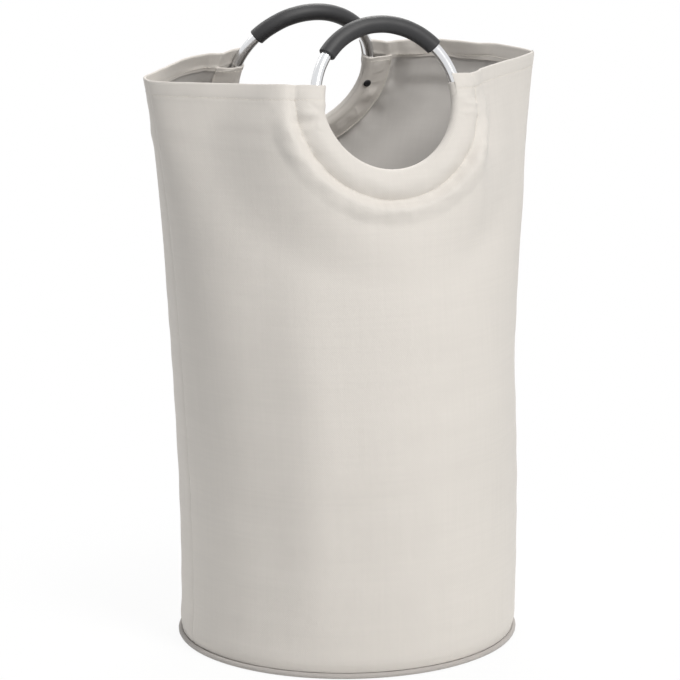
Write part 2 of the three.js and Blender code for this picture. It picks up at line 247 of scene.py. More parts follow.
@dataclass(frozen=True)
class WovenCloth(Finish):
    """Plain-woven polyester, as a bolt of cloth, a tape or a bias strip.

    The threads give a fine grid of bumps, with painted shade in the gaps between them and painted
    light on their tops, and the yarn is a little uneven, so that long faint streaks run along both
    directions. The coating on the cloth leaves it matt, with a faint sheen at a grazing angle.
    """

    roughness: float = 0.78
    thread_spacing: float = 1.2 * MM
    turn: float = 0.0
    sheen: float = 0.12
    weave_depth: float = 0.05 * MM
    wrinkle_depth: float = 0.5 * MM
    mottle: float = 0.035
    # Streaks in a metre across and along the yarn: they are about 4 mm wide and 110 mm long.
    streaks: tuple[float, float] = (260, 9)
    # Painted shade in the gaps between the threads and painted light on top of them.
    painted_thread_shading: tuple[float, float] = (0.97, 1.01)

    def shader(self, tree: NodeTree) -> Node:
        """Builds the cloth. Patterns follow the piece's flat UV map, in metres.

        Args:
            tree: The material's node tree.

        Returns:
            The shader.
        """
        flat = add_node(tree, "ShaderNodeUVMap", uv_map="flat")
        cut = {"Vector": flat, "Rotation": (0, 0, self.turn)}
        turned = add_node(tree, "ShaderNodeMapping", cut)
        parts = add_node(tree, "ShaderNodeSeparateXYZ", {"Vector": turned})
        waves, yarns = [], []
        for axis, scale in zip("XY", (self.streaks, self.streaks[::-1])):
            spacing = {0: parts.outputs[axis], 1: math.pi / self.thread_spacing}
            phase = add_node(tree, "ShaderNodeMath", spacing, operation="MULTIPLY")
            waves.append(add_node(tree, "ShaderNodeMath", {0: phase}, operation="SINE"))
            long = add_node(tree, "ShaderNodeMapping", {"Vector": turned, "Scale": (*scale, 1)})
            streak = {"Vector": long, "Scale": 1.0, "Detail": 2.0}
            yarns.append(add_node(tree, "ShaderNodeTexNoise", streak, noise_dimensions="2D"))
        weave = add_node(tree, "ShaderNodeMath", dict(enumerate(waves)), operation="MULTIPLY")
        yarn = add_node(tree, "ShaderNodeMath", dict(enumerate(yarns)), operation="ADD")
        yarn = add_node(tree, "ShaderNodeMath", {0: yarn, 1: 0.5}, operation="MULTIPLY")
        place = add_node(tree, "ShaderNodeTexCoord").outputs["Object"]
        broad = {"Vector": place, "Scale": 7.0, "Detail": 3.0}
        clouds = add_node(tree, "ShaderNodeTexNoise", broad)
        shade = self.varied(tree, (yarn, clouds), 1 - self.mottle, 1 + self.mottle)
        # Painted shade in the gaps between the threads, painted light on their tops.
        low, high = self.painted_thread_shading
        span = {"From Min": -1.0, "From Max": 1.0, "To Min": low, "To Max": high}
        painted_gap_shade = add_node(tree, "ShaderNodeMapRange", {"Value": weave, **span})
        both = add_node(tree, "ShaderNodeMath", {0: shade, 1: painted_gap_shade}, operation="MULTIPLY")
        rumpled = {"Vector": place, "Scale": 24.0, "Detail": 4.0, "Roughness": 0.45}
        creases = add_node(tree, "ShaderNodeTexNoise", rumpled)
        lift = {"Height": creases, "Distance": self.wrinkle_depth, "Strength": 1.0}
        soft = add_node(tree, "ShaderNodeBump", lift)
        lift = {"Height": weave, "Distance": self.weave_depth, "Strength": 1.0, "Normal": soft}
        look = {"Base Color": self.shaded(tree, both), "Roughness": self.roughness, "IOR": 1.5}
        look |= {"Specular IOR Level": 0.35, "Sheen Weight": self.sheen, "Sheen Roughness": 0.6}
        look["Normal"] = add_node(tree, "ShaderNodeBump", lift)
        return add_node(tree, "ShaderNodeBsdfPrincipled", look)


@dataclass(frozen=True)
class DrawnAluminium(Finish):
    """Aluminium tube, drawn through a die, polished and clear anodised.

    The die leaves faint lines along the tube, and the anodising softens the reflections.
    """

    name: str = "drawn anodised aluminium"
    colour: str = "#dcdddf"
    roughness: float = 0.2
    line_spacing: float = 0.9 * MM
    line_depth: float = 0.01 * MM
    # Lines in a metre along the tube.
    line_ends: float = 12

    def shader(self, tree: NodeTree) -> Node:
        """Builds the metal. The lines follow the tube's flat UV map, in metres.

        Args:
            tree: The material's node tree.

        Returns:
            The shader.
        """
        flat = add_node(tree, "ShaderNodeUVMap", uv_map="flat")
        drawn = {"Vector": flat, "Scale": (self.line_ends, 1 / self.line_spacing, 1)}
        lines = add_node(tree, "ShaderNodeMapping", drawn)
        fine = {"Vector": lines, "Scale": 1.0, "Detail": 3.0}
        grain = add_node(tree, "ShaderNodeTexNoise", fine, noise_dimensions="2D")
        place = add_node(tree, "ShaderNodeTexCoord").outputs["Object"]
        broad = {"Vector": place, "Scale": 60.0, "Detail": 3.0}
        smudges = add_node(tree, "ShaderNodeTexNoise", broad)
        gloss = self.varied(tree, (grain, smudges), self.roughness - 0.05, self.roughness + 0.08)
        lift = {"Height": grain, "Distance": self.line_depth, "Strength": 1.0}
        look = {"Base Color": linear(self.colour), "Metallic": 1.0, "Roughness": gloss}
        look["Normal"] = add_node(tree, "ShaderNodeBump", lift)
        return add_node(tree, "ShaderNodeBsdfPrincipled", look)


@dataclass(frozen=True)
class GrainedSolid(Finish):
    """Moulded plastic, extruded sheet or foam: one colour with a fine all-over grain."""

    grain_size: float
    grain_depth: float
    tone: float = 0.12
    stretch: tuple[float, float, float] = (1.0, 1.0, 1.0)
    sheen: float = 0.0

    def shader(self, tree: NodeTree) -> Node:
        """Builds the solid. The grain follows object coordinates.

        Args:
            tree: The material's node tree.

        Returns:
            The shader.
        """
        place = add_node(tree, "ShaderNodeTexCoord").outputs["Object"]
        sized = {"Vector": place, "Scale": tuple(s / self.grain_size for s in self.stretch)}
        scaled = add_node(tree, "ShaderNodeMapping", sized)
        fine = {"Vector": scaled, "Scale": 0.5, "Detail": 3.0}
        broad = {"Vector": place, "Scale": 30.0, "Detail": 2.0}
        noises = [add_node(tree, "ShaderNodeTexNoise", inputs) for inputs in (fine, broad)]
        shade = self.varied(tree, noises, 1 - self.tone, 1 + self.tone)
        gloss = self.varied(tree, noises, self.roughness - 0.05, self.roughness + 0.05)
        lift = {"Height": noises[0], "Distance": self.grain_depth, "Strength": 1.0}
        look = {"Base Color": self.shaded(tree, shade), "Roughness": gloss, "IOR": 1.49}
        look |= {"Sheen Weight": self.sheen, "Normal": add_node(tree, "ShaderNodeBump", lift)}
        return add_node(tree, "ShaderNodeBsdfPrincipled", look)


# Oxford-weave polyester with a coated back: warm off-white, matt. Real threads are 0.6 mm apart and
# would not show, so the weave is drawn at 1.2 mm.
BODY_CLOTH = WovenCloth("coated woven polyester", "#dad5cf")
# The polyethylene coating on the back of the same cloth: greyer and smoother. Its colour is also a
# little darker than the face, as painted shade that makes the inside look deeper.
COATED_BACK_WITH_PAINTED_SHADE = WovenCloth(
    "polyethylene coating on polyester", "#d0cdca", 0.7, sheen=0.0, weave_depth=0.02 * MM
)
# Polyester binding tape: closer and flatter than the body, a shade darker.
TAPE_CLOTH = WovenCloth(
    "woven polyester tape", "#cfc8bf", thread_spacing=0.9 * MM, wrinkle_depth=0.2 * MM
)
# The same cloth cut on the bias for the piping, in warm grey.
PIPING_CLOTH = WovenCloth(
    "bias-cut polyester", "#b5b0ac", turn=math.radians(45), wrinkle_depth=0.3 * MM
)
# Filler cord of spun polypropylene: white, fluffy, dull.
CORD_FIBRE = WovenCloth("spun polypropylene cord", "#eceae4", 0.95, sheen=0.3)
# Sewing thread: spun polyester, slightly glossier and lighter than the cloth.
THREAD = GrainedSolid(
    "spun polyester sewing thread", "#e2dcd3", 0.6, 0.3 * MM, 0.02 * MM, tone=0.06
)
# Closed-cell rubber foam: charcoal, dull, with tiny pits that catch the light.
GRIP_FOAM = GrainedSolid(
    "closed-cell rubber foam", "#262628", 0.52, 0.7 * MM, 0.07 * MM, sheen=0.08
)
# Injection-moulded nylon for the rivets and joiners: black, satin.
BLACK_NYLON = GrainedSolid("moulded black nylon", "#17171a", 0.42, 0.4 * MM, 0.008 * MM, tone=0.05)
# Extruded polypropylene sheet: grey, with faint lines along one way.
BOARD_SHEET = GrainedSolid(
    "extruded polypropylene sheet", "#6d6a66", 0.5, 0.8 * MM, 0.02 * MM, 0.05, (1, 0.05, 1)
)


class Finishes:
    """The materials of the hamper, each built once."""

    def __init__(self) -> None:
        """Builds every material."""
        self.body = BODY_CLOTH.material()
        # The inner side's coating, a little darker as painted shade.
        self.coating = COATED_BACK_WITH_PAINTED_SHADE.material()
        self.tape = TAPE_CLOTH.material()
        self.piping = PIPING_CLOTH.material()
        self.cord = CORD_FIBRE.material()
        self.thread = THREAD.material()
        self.metal = DrawnAluminium().material()
        self.foam = GRIP_FOAM.material()
        self.nylon = BLACK_NYLON.material()
        self.board = BOARD_SHEET.material()


# Mesh helpers


def finished(name: str, mesh: BMesh, *materials: Material) -> Object:
    """Turns a bmesh into a linked object with smooth shading and sharp folds.

    Args:
        name: Name of the piece.
        mesh: Its bmesh, which is freed.
        materials: Its material, and that of its inner side if it has its own.

    Returns:
        The new object, at the origin.
    """
    data = bpy.data.meshes.new(name)
    mesh.to_mesh(data)
    mesh.free()
    for material in materials:
        data.materials.append(material)
    data.shade_smooth()
    data.set_sharp_from_angle(angle=SHARP_ANGLE)
    made = bpy.data.objects.new(name, data)
    bpy.context.scene.collection.objects.link(made)
    log.info("%s: %d faces", name, len(data.polygons))
    return made


def declared(piece: Object, slot: Slot, *nodes: str, body: str = "") -> Object:
    """Hides the CAD nodes that a piece replaces, and sets it on the body it rides on.

    Args:
        piece: The piece.
        slot: The record's material slot for the piece; not used.
        nodes: Names of the CAD nodes it replaces.
        body: Name of the body it rides on, if it rides on one.

    Returns:
        The piece.
    """
    if nodes:
        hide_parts(*nodes)
    if body:
        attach(piece, body)
    return piece


def dress_node(node: str, material: Material) -> None:
    """Gives a CAD node that is shown as it is a material of the scene."""
    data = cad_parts[node].data
    data.materials.clear()
    data.materials.append(material)


def spun(profile: Sequence[tuple[float, float]], steps: int, wobble: Wobble = None) -> BMesh:
    """Turns a closed profile round the Z axis.

    Args:
        profile: Points of radius and height. The first and last are joined.
        steps: Number of steps in the full turn, a multiple of 8.
        wobble: Shift of each finished point, if any.

    Returns:
        The closed body, with a flat UV map of length round the axis and length along the profile.
    """
    mesh = bmesh.new()
    verts = [mesh.verts.new((radius, 0, height)) for radius, height in profile]
    edges = [mesh.edges.new((a, b)) for a, b in zip(verts, verts[1:] + verts[:1])]
    sector = FULL_TURN / 8
    middle, axis, count = (0, 0, 0), (0, 0, 1), steps // 8
    bmesh.ops.spin(
        mesh, geom=verts + edges, cent=middle, axis=axis, angle=sector, steps=count, use_merge=False
    )
    for turn in (sector, 2 * sector, 4 * sector):
        so_far = mesh.verts[:] + mesh.edges[:] + mesh.faces[:]
        copied = bmesh.ops.duplicate(mesh, geom=so_far)["geom"]
        moved = [part for part in copied if isinstance(part, BMVert)]
        turned = Matrix.Rotation(turn, 3, "Z")
        bmesh.ops.rotate(mesh, verts=moved, cent=middle, matrix=turned)
    bmesh.ops.remove_doubles(mesh, verts=mesh.verts, dist=0.005 * MM)
    bmesh.ops.recalc_face_normals(mesh, faces=mesh.faces)
    layer = mesh.loops.layers.uv.new("flat")
    for face in mesh.faces:
        centre = face.calc_center_median()
        turn = math.atan2(centre.y, centre.x)
        for loop in face.loops:
            point = loop.vert.co
            radius = math.hypot(point.x, point.y)
            near = math.atan2(point.y, point.x) if radius > MM else turn
            near += FULL_TURN * round((turn - near) / FULL_TURN)
            loop[layer].uv = (near * max(radius, 0.05), radius + point.z)
    if wobble:
        for vert in mesh.verts:
            vert.co += wobble(vert.co)
    return mesh


def flat_disc(
    radius: float, bottom: float, thickness: float, edge: float
) -> list[tuple[float, float]]:
    """Profile of a disc with rounded edges.

    Args:
        radius: Outer radius.
        bottom: Height of the underside.
        thickness: Thickness.
        edge: Radius of the rounded edge.

    Returns:
        Profile points, from the middle of the underside round to the middle of the top.
    """
    rings = [radius * share for share in (0.0, 0.2, 0.4, 0.6, 0.8, 0.94)]
    turns = [math.radians(a) for a in (-90, -60, -30, 0)]
    low = [
        (radius - edge + edge * math.cos(a), bottom + edge + edge * math.sin(a)) for a in turns
    ]
    high = [(r, 2 * bottom + thickness - z) for r, z in reversed(low)]
    top = bottom + thickness
    return [(r, bottom) for r in rings] + low + high + [(r, top) for r in reversed(rings)]


# The bag's shape


@dataclass(frozen=True)
class Side:
    """One half of the bag, with its handle ring and the cloth round it."""

    name: str
    direction: int
    lean: float
    ring_height: float
    fullness: float
    rim_rise: float
    rim_fade: float
    # Drop of the tunnel's mouth below the rim.
    mouth_drop: float
    # Turn of the hem's end round the tube. It is pulled back at the front right.
    wrap_ends: dict[Corner, float]
    # How much the doubled hem widens the cloth round the tube.
    hem_swell: dict[Corner, float]
    # Where the rim hangs lower or higher: depth, place to the right of the middle, and width.
    droops: tuple[tuple[float, float, float], ...]
    # Upright creases: place to the right of the middle, height and width, in mm.
    creases: tuple[tuple[float, float, float], ...]
    yoke_seed: float
    facing_seed: float

    @property
    def handle_body(self) -> str:
        """Name of the CAD body of this side's handle."""
        return f"{self.name}_handle"

    @property
    def panel(self) -> str:
        """Name of the CAD node of this side's wall."""
        return f"{self.name}_panel"

    @property
    def rim_up(self) -> float:
        """Height of the rim over the ring's middle, measured up the handle's plane."""
        return (BAG.rim_height + self.rim_rise - self.ring_height) / self.cosine

    @property
    def cosine(self) -> float:
        """Height gained for each step up the handle's plane."""
        return math.cos(self.lean)

    @property
    def matrix(self) -> Matrix:
        """Place of the handle: its ring lies in the local XZ plane, and Z points up the lean."""
        shift = Matrix.Translation((0, self.direction * BAG.ring_offset, self.ring_height))
        return shift @ Matrix.Rotation(self.direction * self.lean, 4, "X")


FRONT = Side(
    name="front",
    direction=-1,
    lean=math.radians(18.4),
    ring_height=0.6282,
    fullness=1.0,
    rim_rise=0.0,
    rim_fade=0.045,
    mouth_drop=9 * MM,
    wrap_ends={Corner.LEFT: math.radians(200), Corner.RIGHT: math.radians(116)},
    hem_swell={Corner.LEFT: 1.32, Corner.RIGHT: 1.05},
    droops=((2.9 * MM, -0.076, 0.017), (-2.4 * MM, -0.121, 0.024)),
    creases=((-104, 3.0, 26), (-146, -1.8, 22), (-66, -0.9, 30), (30, 0.9, 34), (118, 1.3, 30)),
    yoke_seed=31.0,
    facing_seed=5.0,
)
BACK = Side(
    name="back",
    direction=1,
    lean=math.radians(25.9),
    ring_height=0.6238,
    fullness=0.85,
    rim_rise=6.5 * MM,
    rim_fade=0.100,
    mouth_drop=15 * MM,
    wrap_ends={Corner.LEFT: math.radians(132), Corner.RIGHT: math.radians(132)},
    hem_swell={Corner.LEFT: 1.2, Corner.RIGHT: 1.2},
    droops=(),
    creases=((-96, 2.2, 28), (-45, -1.0, 30), (70, 1.9, 30), (128, -1.2, 24)),
    yoke_seed=47.0,
    facing_seed=60.0,
)

# Outward shift of the side seams at heights, in mm: height, right side, left side.
SIDE_SHIFTS = (
    (0, 0.0, 0.0),
    (45, 2.2, -1.0),
    (110, 3.4, -1.6),
    (180, 3.6, -0.9),
    (250, 1.4, 1.2),
    (315, -1.6, 2.8),
    (360, 0.4, 3.4),
    (400, 2.0, 3.6),
    (470, 4.2, 1.9),
    (520, 5.4, 0.8),
    (560, 7.2, 0.0),
    (590, 7.0, -0.4),
    (620, 5.0, -1.6),
    (650, 2.2, -2.0),
)
# Soft waves of the wall, the drift of its cross ripples, in radians, and that of its creases.
WALL_WAVES = Ruffle(1.6 * MM, 0.10, 3.7, (1.0, 1.0, 0.45))
RIPPLE_DRIFT = Ruffle(5, 0.25, 23.7)
CREASE_DRIFT = Ruffle(9 * MM, 0.16, 8.0, (0, 0, 1))


@dataclass(frozen=True)
class BagShape:
    """The wall's outer face, by height and seam angle: 0 at the right seam, pi at the left."""

    base_radius: float = 0.190
    rim_height: float = 0.650
    rim_half_width: float = 0.2336
    ring_radius: float = 83.3 * MM
    ring_offset: float = 0.1203
    tunnel_depth: float = 25.3 * MM
    # The tunnel's seam draws the cloth in, the more between these distances from the ring's middle.
    seam_draw: float = 1.0 * MM
    seam_pull: tuple[float, float] = (87 * MM, 102 * MM)
    lean_softness: float = 0.070
    widen_power: float = 3.2
    pinch_power: float = 2.8
    rim_point: float = 1.6
    flat_radius: float = 0.1146
    flat_fade: float = 0.100
    fade_power: float = 8.0
    wall_foot: float = 6.5 * MM
    split_height: float = 0.430
    corner_drop: float = 0.8 * MM
    chord_depth: float = 0.112
    chord_start: float = 0.093
    ripple_height: float = 0.22 * MM
    ripple_spacing: float = 0.052
    cloth: float = 1.4 * MM
    gap: float = 0.3 * MM
    # Distances from the ring's middle between which the cloth would follow the handle less and
    # less, and the height over which it would start to follow it below the tunnel. Nothing here
    # makes the cloth follow the handle.
    follow_fade: tuple[float, float] = (0.112, 0.205)
    follow_rise: float = 0.045

    def plane_depth(self, side: Side, z: Values) -> Values:
        """Distance of a handle's plane from the middle of the bag at a height."""
        return self.ring_offset - (z - side.ring_height) * math.tan(side.lean)

    def half_width(self, z: Values) -> Values:
        """Half the distance between the side seams at a height."""
        share = (z / self.rim_height) ** self.widen_power
        return between(self.base_radius, self.rim_half_width, share)

    def point_power(self, z: Values) -> Values:
        """Power that draws the round section to a point at the side seams."""
        return between(1, self.rim_point, (z / self.rim_height) ** self.pinch_power)

    def angle_at(self, x: Array, z: Array) -> Array:
        """Seam angle of the wall's point at a distance x to the right of the middle."""
        share = np.clip(np.abs(x) / self.half_width(z), 0, 1) ** (1 / self.point_power(z))
        return np.arccos(np.sign(x) * share)

    def on_seam(self, angle: Array) -> Array:
        """Whether each seam angle lies on a side seam."""
        return np.abs(np.sin(angle)) < ON_SEAM

    def smooth_face(self, side: Side, angle: Array, z: Array) -> Array:
        """Points of the wall's outer face, without its wrinkles.

        Args:
            side: Front or back half.
            angle: Seam angles.
            z: Heights.

        Returns:
            Array of points, with x, y and z on its last axis.
        """
        soft, up = self.lean_softness, z / self.rim_height
        plane = self.plane_depth(side, z)
        close = np.maximum(soft - np.abs(self.base_radius - plane), 0) / soft
        depth = np.minimum(self.base_radius, plane) - close**2 * soft / 4
        across = np.cos(angle)
        x = self.half_width(z) * np.sign(across) * np.abs(across) ** self.point_power(z)
        round_power = between(1, side.fullness, up**self.pinch_power)
        full = depth * np.abs(np.sin(angle)) ** round_power
        along = (z - side.ring_height) / side.cosine
        fade = between(self.flat_fade, side.rim_fade, up**self.fade_power)
        free = smoothstep(np.hypot(x, along), self.flat_radius, self.flat_radius + fade)
        y = side.direction * between(plane, full, free)
        x = x + self.spread(x, z)
        shifted = (x, y + self.sway(side, x, y, z), z + self.droop(side, x, z))
        return np.stack(shifted, axis=-1)

    def droop(self, side: Side, x: Array, z: Array) -> Array:
        """Shift along Z of the rim, which is lower at the left corner and at a tunnel's mouth.

        Args:
            side: Front or back half.
            x: Distances to the right of the middle.
            z: Heights.

        Returns:
            The shift in metres.
        """
        corner = self.corner_drop * smoothstep(-x, 0.180, self.rim_half_width)
        corner = corner * smoothstep(z, 0.52, self.rim_height)
        mouth = sum(depth * bell(x, place, width) for depth, place, width in side.droops)
        return -corner - mouth * smoothstep(z, 0.595, 0.645)

    def spread(self, x: Array, z: Array) -> Array:
        """Shift along X of the wall near the side seams, where the soft sides stand uneven.

        Args:
            x: Distances to the right of the middle.
            z: Heights.

        Returns:
            The shift in metres.
        """
        heights, right, left = np.array(SIDE_SHIFTS).T * MM
        shift = np.where(x > 0, np.interp(z, heights, right), -np.interp(z, heights, left))
        return shift * smoothstep(np.abs(x), 0.10, 0.18)

    def sway(self, side: Side, x: Array, y: Array, z: Array) -> Array:
        """Shift along Y of the rim between the tunnels and the side seams, which hangs unevenly.

        The back bulges out on the right and in on the left. The front is pulled towards the
        straight chord from the tunnel to the seam.

        Args:
            side: Front or back half.
            x: Distances to the right of the middle.
            y: Places along Y before the shift.
            z: Heights.

        Returns:
            The shift in metres.
        """
        high = smoothstep(z, 0.48, 0.64)
        away, edge = np.abs(x), self.half_width(z)
        if side is BACK:
            span = smoothstep(away, 0.125, 0.195) * (1 - smoothstep(away / edge, 0.92, 0.995))
            return high * span * np.where(x > 0, 19 * MM, -8 * MM)
        taut = -self.chord_depth * np.clip((edge - away) / (edge - self.chord_start), 0, 1)
        right = between(0.82, 0.70, smoothstep(away / edge, 0.5, 0.9))
        left = between(0.10, 0.50, smoothstep(away / edge, 0.55, 0.97))
        return high * (taut - y) * smoothstep(away, 0.096, 0.128) * np.where(x > 0, right, left)

    def normal(self, side: Side, angle: Array, z: Array) -> Array:
        """Outward normals of the wall's face.

        Args:
            side: Front or back half.
            angle: Seam angles.
            z: Heights.

        Returns:
            Array of unit normals.
        """
        turn, rise = math.radians(1.5), 2.5 * MM
        before = self.smooth_face(side, np.maximum(angle - turn, 0), z)
        after = self.smooth_face(side, np.minimum(angle + turn, math.pi), z)
        below = self.smooth_face(side, angle, np.maximum(z - rise, 0))
        above = self.smooth_face(side, angle, z + rise)
        cross = np.cross(after - before, above - below) * side.direction
        return cross / np.linalg.norm(cross, axis=-1, keepdims=True)

    def wrinkles(self, side: Side, points: Array, angle: Array, z: Array) -> Array:
        """Height of the cloth over the smooth face: waves, cross ripples and sunk side seams.

        Args:
            side: Front or back half.
            points: Points on the smooth face.
            angle: Their seam angles.
            z: Their heights.

        Returns:
            Height along the outward normal at each point, in metres.
        """
        foot = smoothstep(z, 10 * MM, 60 * MM)
        bands = np.sin(FULL_TURN * z / self.ripple_spacing + RIPPLE_DRIFT.waves(points))
        low = 1 - smoothstep(z, self.split_height - 0.06, self.split_height)
        ripples = self.ripple_height * bands * low
        from_seam = np.abs(np.sin(angle)) * self.half_width(z)
        seam = -0.55 * MM * bell(from_seam, 0, 2.0 * MM)
        seam = seam + 0.3 * MM * bell(from_seam, 9 * MM, 5 * MM)
        tuck = -1.2 * MM * (1 - smoothstep(z, self.wall_foot, 16 * MM))
        swell = 0.9 * MM * bell(z, 22 * MM, 10 * MM)
        uneven = foot * (WALL_WAVES.waves(points) + ripples) + self.folds(side, points, z)
        return uneven + seam + tuck + swell

    def folds(self, side: Side, points: Array, z: Array) -> Array:
        """Height of the soft upright creases that the folded bag keeps in its front and back.

        Args:
            side: Front or back half.
            points: Points on the smooth face.
            z: Their heights.

        Returns:
            Height along the outward normal at each point, in metres.
        """
        shown = smoothstep(z, 14 * MM, 80 * MM) * (1 - smoothstep(z, 0.40, 0.52))
        x = points[..., 0] + CREASE_DRIFT.waves(points)
        lifts = (h * MM * bell(x, place * MM, width * MM) for place, h, width in side.creases)
        return sum(lifts) * shown


BAG = BagShape()


def flattens(piece: Object) -> None:
    """Lets a piece ride on the base, with a mesh of its own.

    Args:
        piece: The piece.
    """
    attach(piece, "base")
    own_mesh(piece)


def arc_table(side: Side) -> tuple[Array, Array, Array]:
    """Lengths along the wall from the middle of a half, for the flat pattern of the weave.

    Args:
        side: Front or back half.

    Returns:
        Heights, seam angles, and the lengths at each height and angle.
    """
    heights = np.linspace(0, BAG.rim_height + side.rim_rise, 40)
    angles = np.linspace(0, math.pi, 241)
    grid = BAG.smooth_face(side, *np.meshgrid(angles, heights))
    steps = np.linalg.norm(np.diff(grid, axis=1), axis=-1)
    lengths = np.concatenate([np.zeros((len(heights), 1)), np.cumsum(steps, axis=1)], axis=1)
    return heights, angles, lengths - lengths[:, -1:] / 2


ARCS = {side.name: arc_table(side) for side in (FRONT, BACK)}


def flat_pattern(side: Side, angle: Array, z: Array) -> Array:
    """Place of wall points on the flat cloth, in metres.

    Args:
        side: Front or back half.
        angle: Seam angles.
        z: Heights.

    Returns:
        Array with the two flat coordinates on its last axis.
    """
    heights, angles, lengths = ARCS[side.name]
    row = np.clip(z / heights[-1], 0, 1) * (len(heights) - 1)
    column = np.clip(angle / math.pi, 0, 1) * (len(angles) - 1)
    r0 = np.clip(np.floor(row).astype(int), 0, len(heights) - 2)
    c0 = np.clip(np.floor(column).astype(int), 0, len(angles) - 2)
    low, high = (between(lengths[r, c0], lengths[r, c0 + 1], column - c0) for r in (r0, r0 + 1))
    return np.stack([between(low, high, row - r0), z + 0 * angle], axis=-1)


def whole(right: Array, left: Array) -> Array:
    """Joins two halves that share their last row, from the right side seam round to the left."""
    return np.concatenate([right, left[-2::-1]])


def travelled(path: Array) -> Array:
    """Length along a path from its start to each of its points."""
    return np.concatenate([[0.0], np.cumsum(np.linalg.norm(np.diff(path, axis=0), axis=1))])


def sampled(values: Array, travel: Array, distance: Values) -> Array:
    """Reads values off along a path.

    Args:
        values: One x, y and z for each point of the path.
        travel: Length from the start to each of these points.
        distance: Lengths from the start at which to read.

    Returns:
        One x, y and z for each length.
    """
    return np.stack([np.interp(distance, travel, column) for column in values.T], axis=-1)


@dataclass
class ClothSheet:
    """A sheet of cloth laid out as rows and columns of points, with their flat pattern."""

    points: Array
    flat: Array
    outward: Vector

    def normals(self) -> Array:
        """Works out unit normals on the outer side of the sheet.

        Returns:
            Array of one normal for each point.
        """
        cross = np.cross(np.gradient(self.points, axis=0), np.gradient(self.points, axis=1))
        cross = cross / np.maximum(np.linalg.norm(cross, axis=-1, keepdims=True), NO_LENGTH)
        outward = np.array(self.outward)
        row = len(self.points) // 2
        column = int(np.argmax(self.points[row] @ outward))
        return cross * (1 if cross[row, column] @ outward > 0 else -1)

    def mesh(self, thickness: float, side: Side | None = None) -> BMesh:
        """Builds the sheet as a closed shell.

        Args:
            thickness: Thickness of the cloth, laid on the inner side.
            side: The half that a wall belongs to. A wall's inner side is coated, a little darker as
            painted shade, and it stays on its own side of the side seams.

        Returns:
            The shell, with its flat UV map.
        """
        rows, columns = self.points.shape[:2]
        mesh = bmesh.new()
        place = {}
        for points in (self.points, self.points - self.normals() * thickness):
            points = points.copy()
            if side is not None:
                half = side.direction
                points[..., 1] = half * np.maximum(half * points[..., 1], BAG.gap / 2)
            made = bmesh.ops.create_grid(mesh, x_segments=columns - 1, y_segments=rows - 1, size=1)
            inner = set(made["verts"])
            for vert in made["verts"]:
                row = round((vert.co.y + 1) / 2 * (rows - 1))
                column = round((vert.co.x + 1) / 2 * (columns - 1))
                place[vert] = (row, column)
                vert.co = points[row, column]
        bmesh.ops.bridge_loops(mesh, edges=[edge for edge in mesh.edges if edge.is_boundary])
        bmesh.ops.recalc_face_normals(mesh, faces=mesh.faces)
        layer = mesh.loops.layers.uv.new("flat")
        for face in mesh.faces:
            # A wall's inner faces take the coating, a little darker as painted shade.
            face.material_index = int(side is not None and inner.issuperset(face.verts))
            for loop in face.loops:
                loop[layer].uv = self.flat[place[loop.vert]]
        return mesh


# Stitching


@dataclass(frozen=True)
class Stitching:
    """A row of lockstitches: short thread humps, half sunk in the cloth."""

    length: float = 3.4 * MM
    pitch: float = 4.4 * MM
    width: float = 0.75 * MM
    # Share of its width by which the middle of a hump stands over the cloth.
    stand: float = 0.15

    def sew(self, mesh: BMesh, path: Array, normals: Array) -> None:
        """Adds one row of stitches along a path.

        Args:
            mesh: The bmesh that takes the stitches.
            path: Points of the row.
            normals: Outward normal of the cloth at each point.
        """
        hump = bmesh.new()
        bmesh.ops.create_uvsphere(hump, u_segments=6, v_segments=4, radius=1)
        plain = bpy.data.meshes.new("stitch")
        hump.to_mesh(plain)
        hump.free()
        travel = travelled(path)
        for number in range(int(travel[-1] / self.pitch)):
            middle = (number + 0.5) * self.pitch
            ends = (middle - self.length / 2, middle + self.length / 2)
            start, stop = (Vector(sampled(path, travel, end)) for end in ends)
            up = Vector(sampled(normals, travel, middle))
            along = (stop - start).normalized()
            aside = up.cross(along).normalized()
            up = along.cross(aside)
            shift = Matrix.Translation((start + stop) / 2 + up * self.width * self.stand)
            turn = Matrix((along, aside, up)).transposed().to_4x4()
            size = Matrix.Diagonal((self.length / 2, self.width / 2, self.width / 2, 1))
            placed = plain.copy()
            placed.transform(shift @ turn @ size)
            mesh.from_mesh(placed)
            bpy.data.meshes.remove(placed)
        bpy.data.meshes.remove(plain)


# The upper wall


@dataclass(frozen=True)
class Hem:
    """A folded edge, as drops below the fold and depths behind the outer face."""

    width: float
    stitch_drop: float
    layers: float

    def rows(self) -> list[tuple[float, float]]:
        """Lays out the rows of points, from the raw edge inside to the hem's lower end outside.

        Returns:
            Drop and depth of each row.
        """
        near = [self.stitch_drop + k * 0.8 * MM for k in (1.6, 1, 0, -1, -1.6)]
        down = [self.width, *near, *(self.stitch_drop * share for share in (0.72, 0.5, 0.3, 0.16))]
        half = self.layers / 2
        turns = np.radians([0, 30, 60, 90])
        fold = [(half * (1 - math.sin(a)), half * (1 - math.cos(a))) for a in turns]
        inner = [(drop, self.layers) for drop in down]
        turn = [(drop, self.layers - depth) for drop, depth in fold] + fold[-2::-1]
        return inner + turn + [(drop, 0.0) for drop in reversed(down)]

    def stitch_rows(self) -> tuple[int, int]:
        """Finds the rows that the stitches follow.

        Returns:
            The row inside and the row outside.
        """
        drops = np.array(self.rows())[:, 0]
        inside = int(np.argmin(np.abs(drops[: len(drops) // 2] - self.stitch_drop)))
        return inside, len(drops) - 1 - inside

    def normals(self, face: Array, outward: Vector) -> Array:
        """Works out the normals of a face before its hems are folded.

        The hem's rows run up to the fold and back on themselves at both ends of the face.

        Args:
            face: Rows and columns of points, with the hem's rows at both ends.
            outward: Direction that sets the sign.

        Returns:
            Unit normals on the outer side, for the rows inside the fold too.
        """
        fold = (len(self.rows()) - 1) // 2
        body = ClothSheet(face[fold:-fold], face, outward).normals()
        return np.concatenate([body[fold:0:-1], body, body[-2 : -fold - 2 : -1]])


